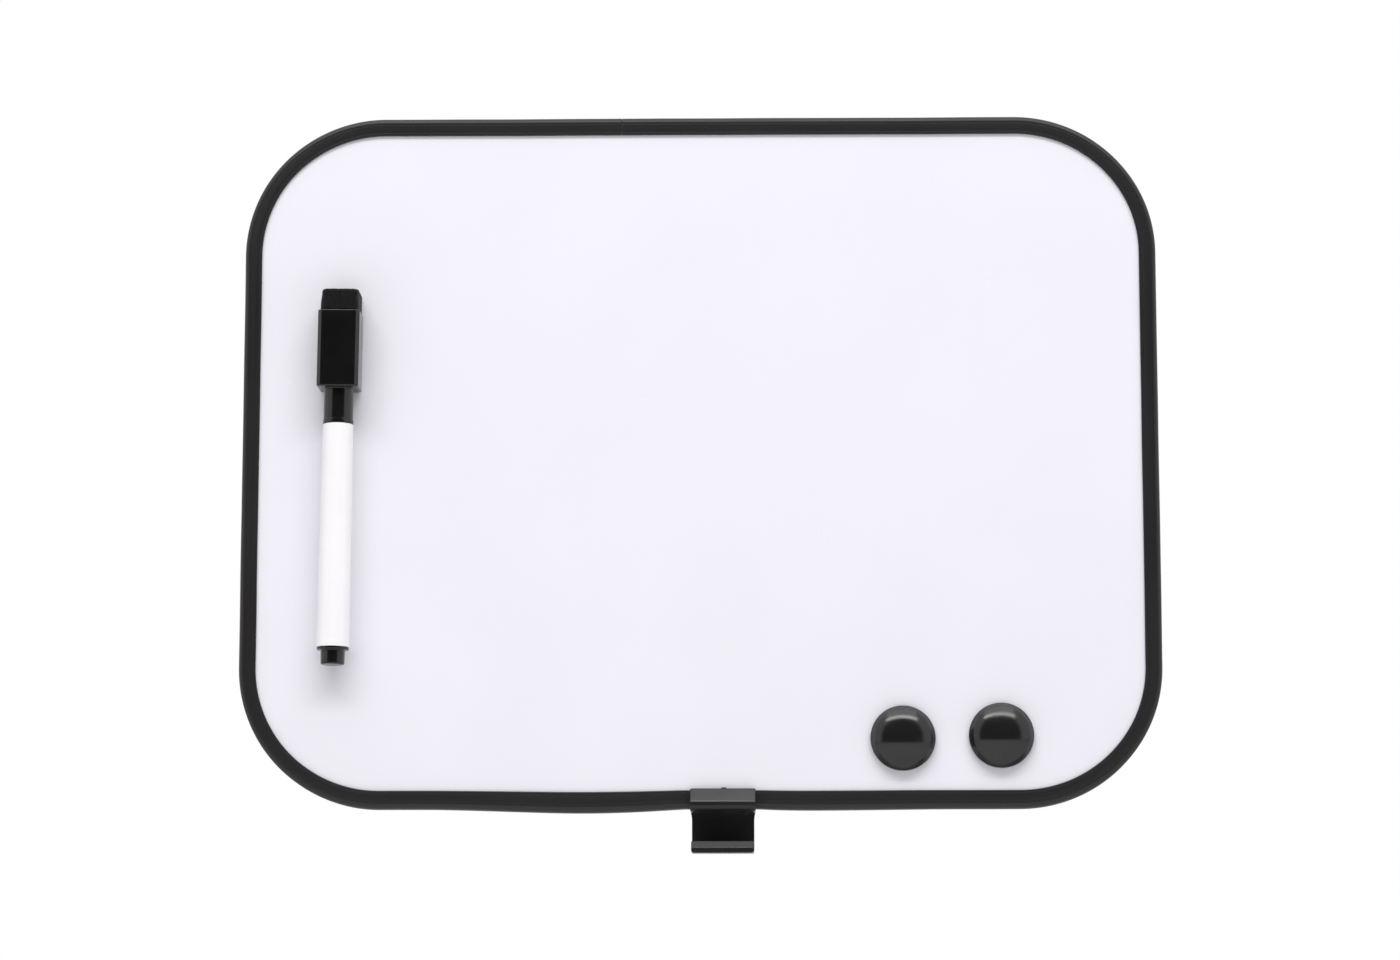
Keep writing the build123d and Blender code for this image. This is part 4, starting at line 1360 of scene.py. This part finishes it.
def flag_cloth():
    """Black cloth with a soft arched edge: its cover falls off with the distance
    sqrt((x / width)^2 + (z / height)^2) from the middle of its foot."""
    material, tree, shader, place = new_material("flag_cloth", 1.0, Specular_IOR_Level=0.0)
    shader.inputs["Base Color"].default_value = (0.0, 0.0, 0.0, 1.0)
    laid = add(tree, "ShaderNodeMapping", Vector=place)
    laid.inputs["Scale"].default_value = (1 / FLAG_SPREAD_X, 0.0, 1 / FLAG_SPREAD_Z)
    reach = add(tree, "ShaderNodeVectorMath", {"operation": "LENGTH"})
    feed(tree, reach.inputs[0], laid.outputs[0])
    feed(tree, shader.inputs["Alpha"], spread(tree, reach.outputs["Value"], 0.8, 1.1, 1.0, 0.0))
    return material


class WHITEBOARD_OT_stage(bpy.types.Operator):
    """Set up the camera, the floor, the world and the lamps"""

    bl_idname = "whiteboard.stage"
    bl_label = "Stage"

    def execute(self, context):
        looks = context.scene.whiteboard.stage
        view = bpy.data.cameras.new("camera")
        view.lens = looks.camera_lens
        view.sensor_width = 36.0
        view.shift_x, view.shift_y = looks.camera_shift
        view.clip_start = 0.01
        camera = bpy.data.objects.new("camera", view)
        camera.location = looks.camera_place
        aim = Vector(looks.camera_aim) - Vector(looks.camera_place)
        camera.rotation_euler = aim.to_track_quat("-Z", "Y").to_euler()
        context.scene.collection.objects.link(camera)
        context.scene.camera = camera
        context.scene.view_settings.view_transform = "Standard"

        pale, tree, shader, place = new_material("floor_paint", 0.7)
        grain = effect(tree, "Grain", Place=place, Scale=300.0, Slow_Scale=3.0)
        tone = blend(tree, grain["Variation"], rgba(looks.floor_colour, 0.98), rgba(looks.floor_colour))
        feed(tree, shader.inputs["Base Color"], tone)
        z = looks.floor_level
        front, back = FLOOR_FRONT, FLOOR_BACK
        floor = [(-FLOOR_HALF_WIDTH, front, z), (FLOOR_HALF_WIDTH, front, z)]
        floor += [(FLOOR_HALF_WIDTH, back, z), (-FLOOR_HALF_WIDTH, back, z)]
        stage_mesh("floor", floor, pale)

        cloth = [(-FLAG_HALF_WIDTH, FLAG_Y, FLAG_FOOT), (FLAG_HALF_WIDTH, FLAG_Y, FLAG_FOOT)]
        cloth += [(FLAG_HALF_WIDTH, FLAG_Y, FLAG_TOP), (-FLAG_HALF_WIDTH, FLAG_Y, FLAG_TOP)]
        flag = stage_mesh("flag", cloth, flag_cloth())
        flag.visible_camera = False
        flag.visible_diffuse = False
        flag.visible_shadow = False
        flag.visible_transmission = False

        area_lamp("softbox", SOFTBOX, looks.softbox_power)
        area_lamp("key_strip", KEY_STRIP, looks.key_power)
        fill = area_lamp("upper_fill", UPPER_FILL, looks.fill_power)
        fill.visible_glossy = False

        world = bpy.data.worlds.new("studio")
        world.use_nodes = True
        context.scene.world = world
        tree = world.node_tree
        path = add(tree, "ShaderNodeLightPath").outputs
        seen = sum_of(tree, "MAXIMUM", path["Is Camera Ray"], path["Is Glossy Ray"])
        seen = sum_of(tree, "MAXIMUM", seen, path["Is Transmission Ray"])
        strength = spread(tree, seen, 0.0, 1.0, looks.world_light, 1.0, smooth=False)
        background = tree.nodes["Background"]
        background.inputs["Color"].default_value = (1.0, 1.0, 1.0, 1.0)
        feed(tree, background.inputs["Strength"], strength)
        return {"FINISHED"}


class WHITEBOARD_PT_sidebar(bpy.types.Panel):
    """Lists the board's settings and makers"""

    bl_label = "Whiteboard"
    bl_idname = "WHITEBOARD_PT_sidebar"
    bl_space_type = "VIEW_3D"
    bl_region_type = "UI"
    bl_category = "Whiteboard"

    def draw(self, context):
        looks = context.scene.whiteboard
        for operator, parts in SECTIONS:
            box = self.layout.box()
            box.operator(operator.bl_idname)
            for part in parts:
                settings = getattr(looks, part)
                for name in settings.bl_rna.properties.keys():
                    if name not in {"rna_type", "name"}:
                        box.prop(settings, name)


SECTIONS = (
    (WHITEBOARD_OT_stage, ("stage",)),
    (WHITEBOARD_OT_panel, ("panel",)),
    (WHITEBOARD_OT_edging, ("edging",)),
    (WHITEBOARD_OT_clip, ("clip",)),
    (WHITEBOARD_OT_magnets, ("magnets",)),
    (WHITEBOARD_OT_marker, ("marker",)),
    (WHITEBOARD_OT_marker_cap, ()),
    (WHITEBOARD_OT_pads, ("pads",)),
)

CLASSES = (
    PanelSettings,
    EdgingSettings,
    ClipSettings,
    MagnetSettings,
    MarkerSettings,
    PadSettings,
    StageSettings,
    WhiteboardSettings,
    *(operator for operator, parts in SECTIONS),
    WHITEBOARD_PT_sidebar,
)


def register():
    for made in CLASSES:
        bpy.utils.register_class(made)
    bpy.types.Scene.whiteboard = bpy.props.PointerProperty(type=WhiteboardSettings)


def unregister():
    del bpy.types.Scene.whiteboard
    for made in reversed(CLASSES):
        bpy.utils.unregister_class(made)


def main():
    register()
    for name in ("stage", "panel", "edging", "clip", "magnets", "marker", "marker_cap", "pads"):
        getattr(bpy.ops.whiteboard, name)()


if __name__ == "__main__":
    main()
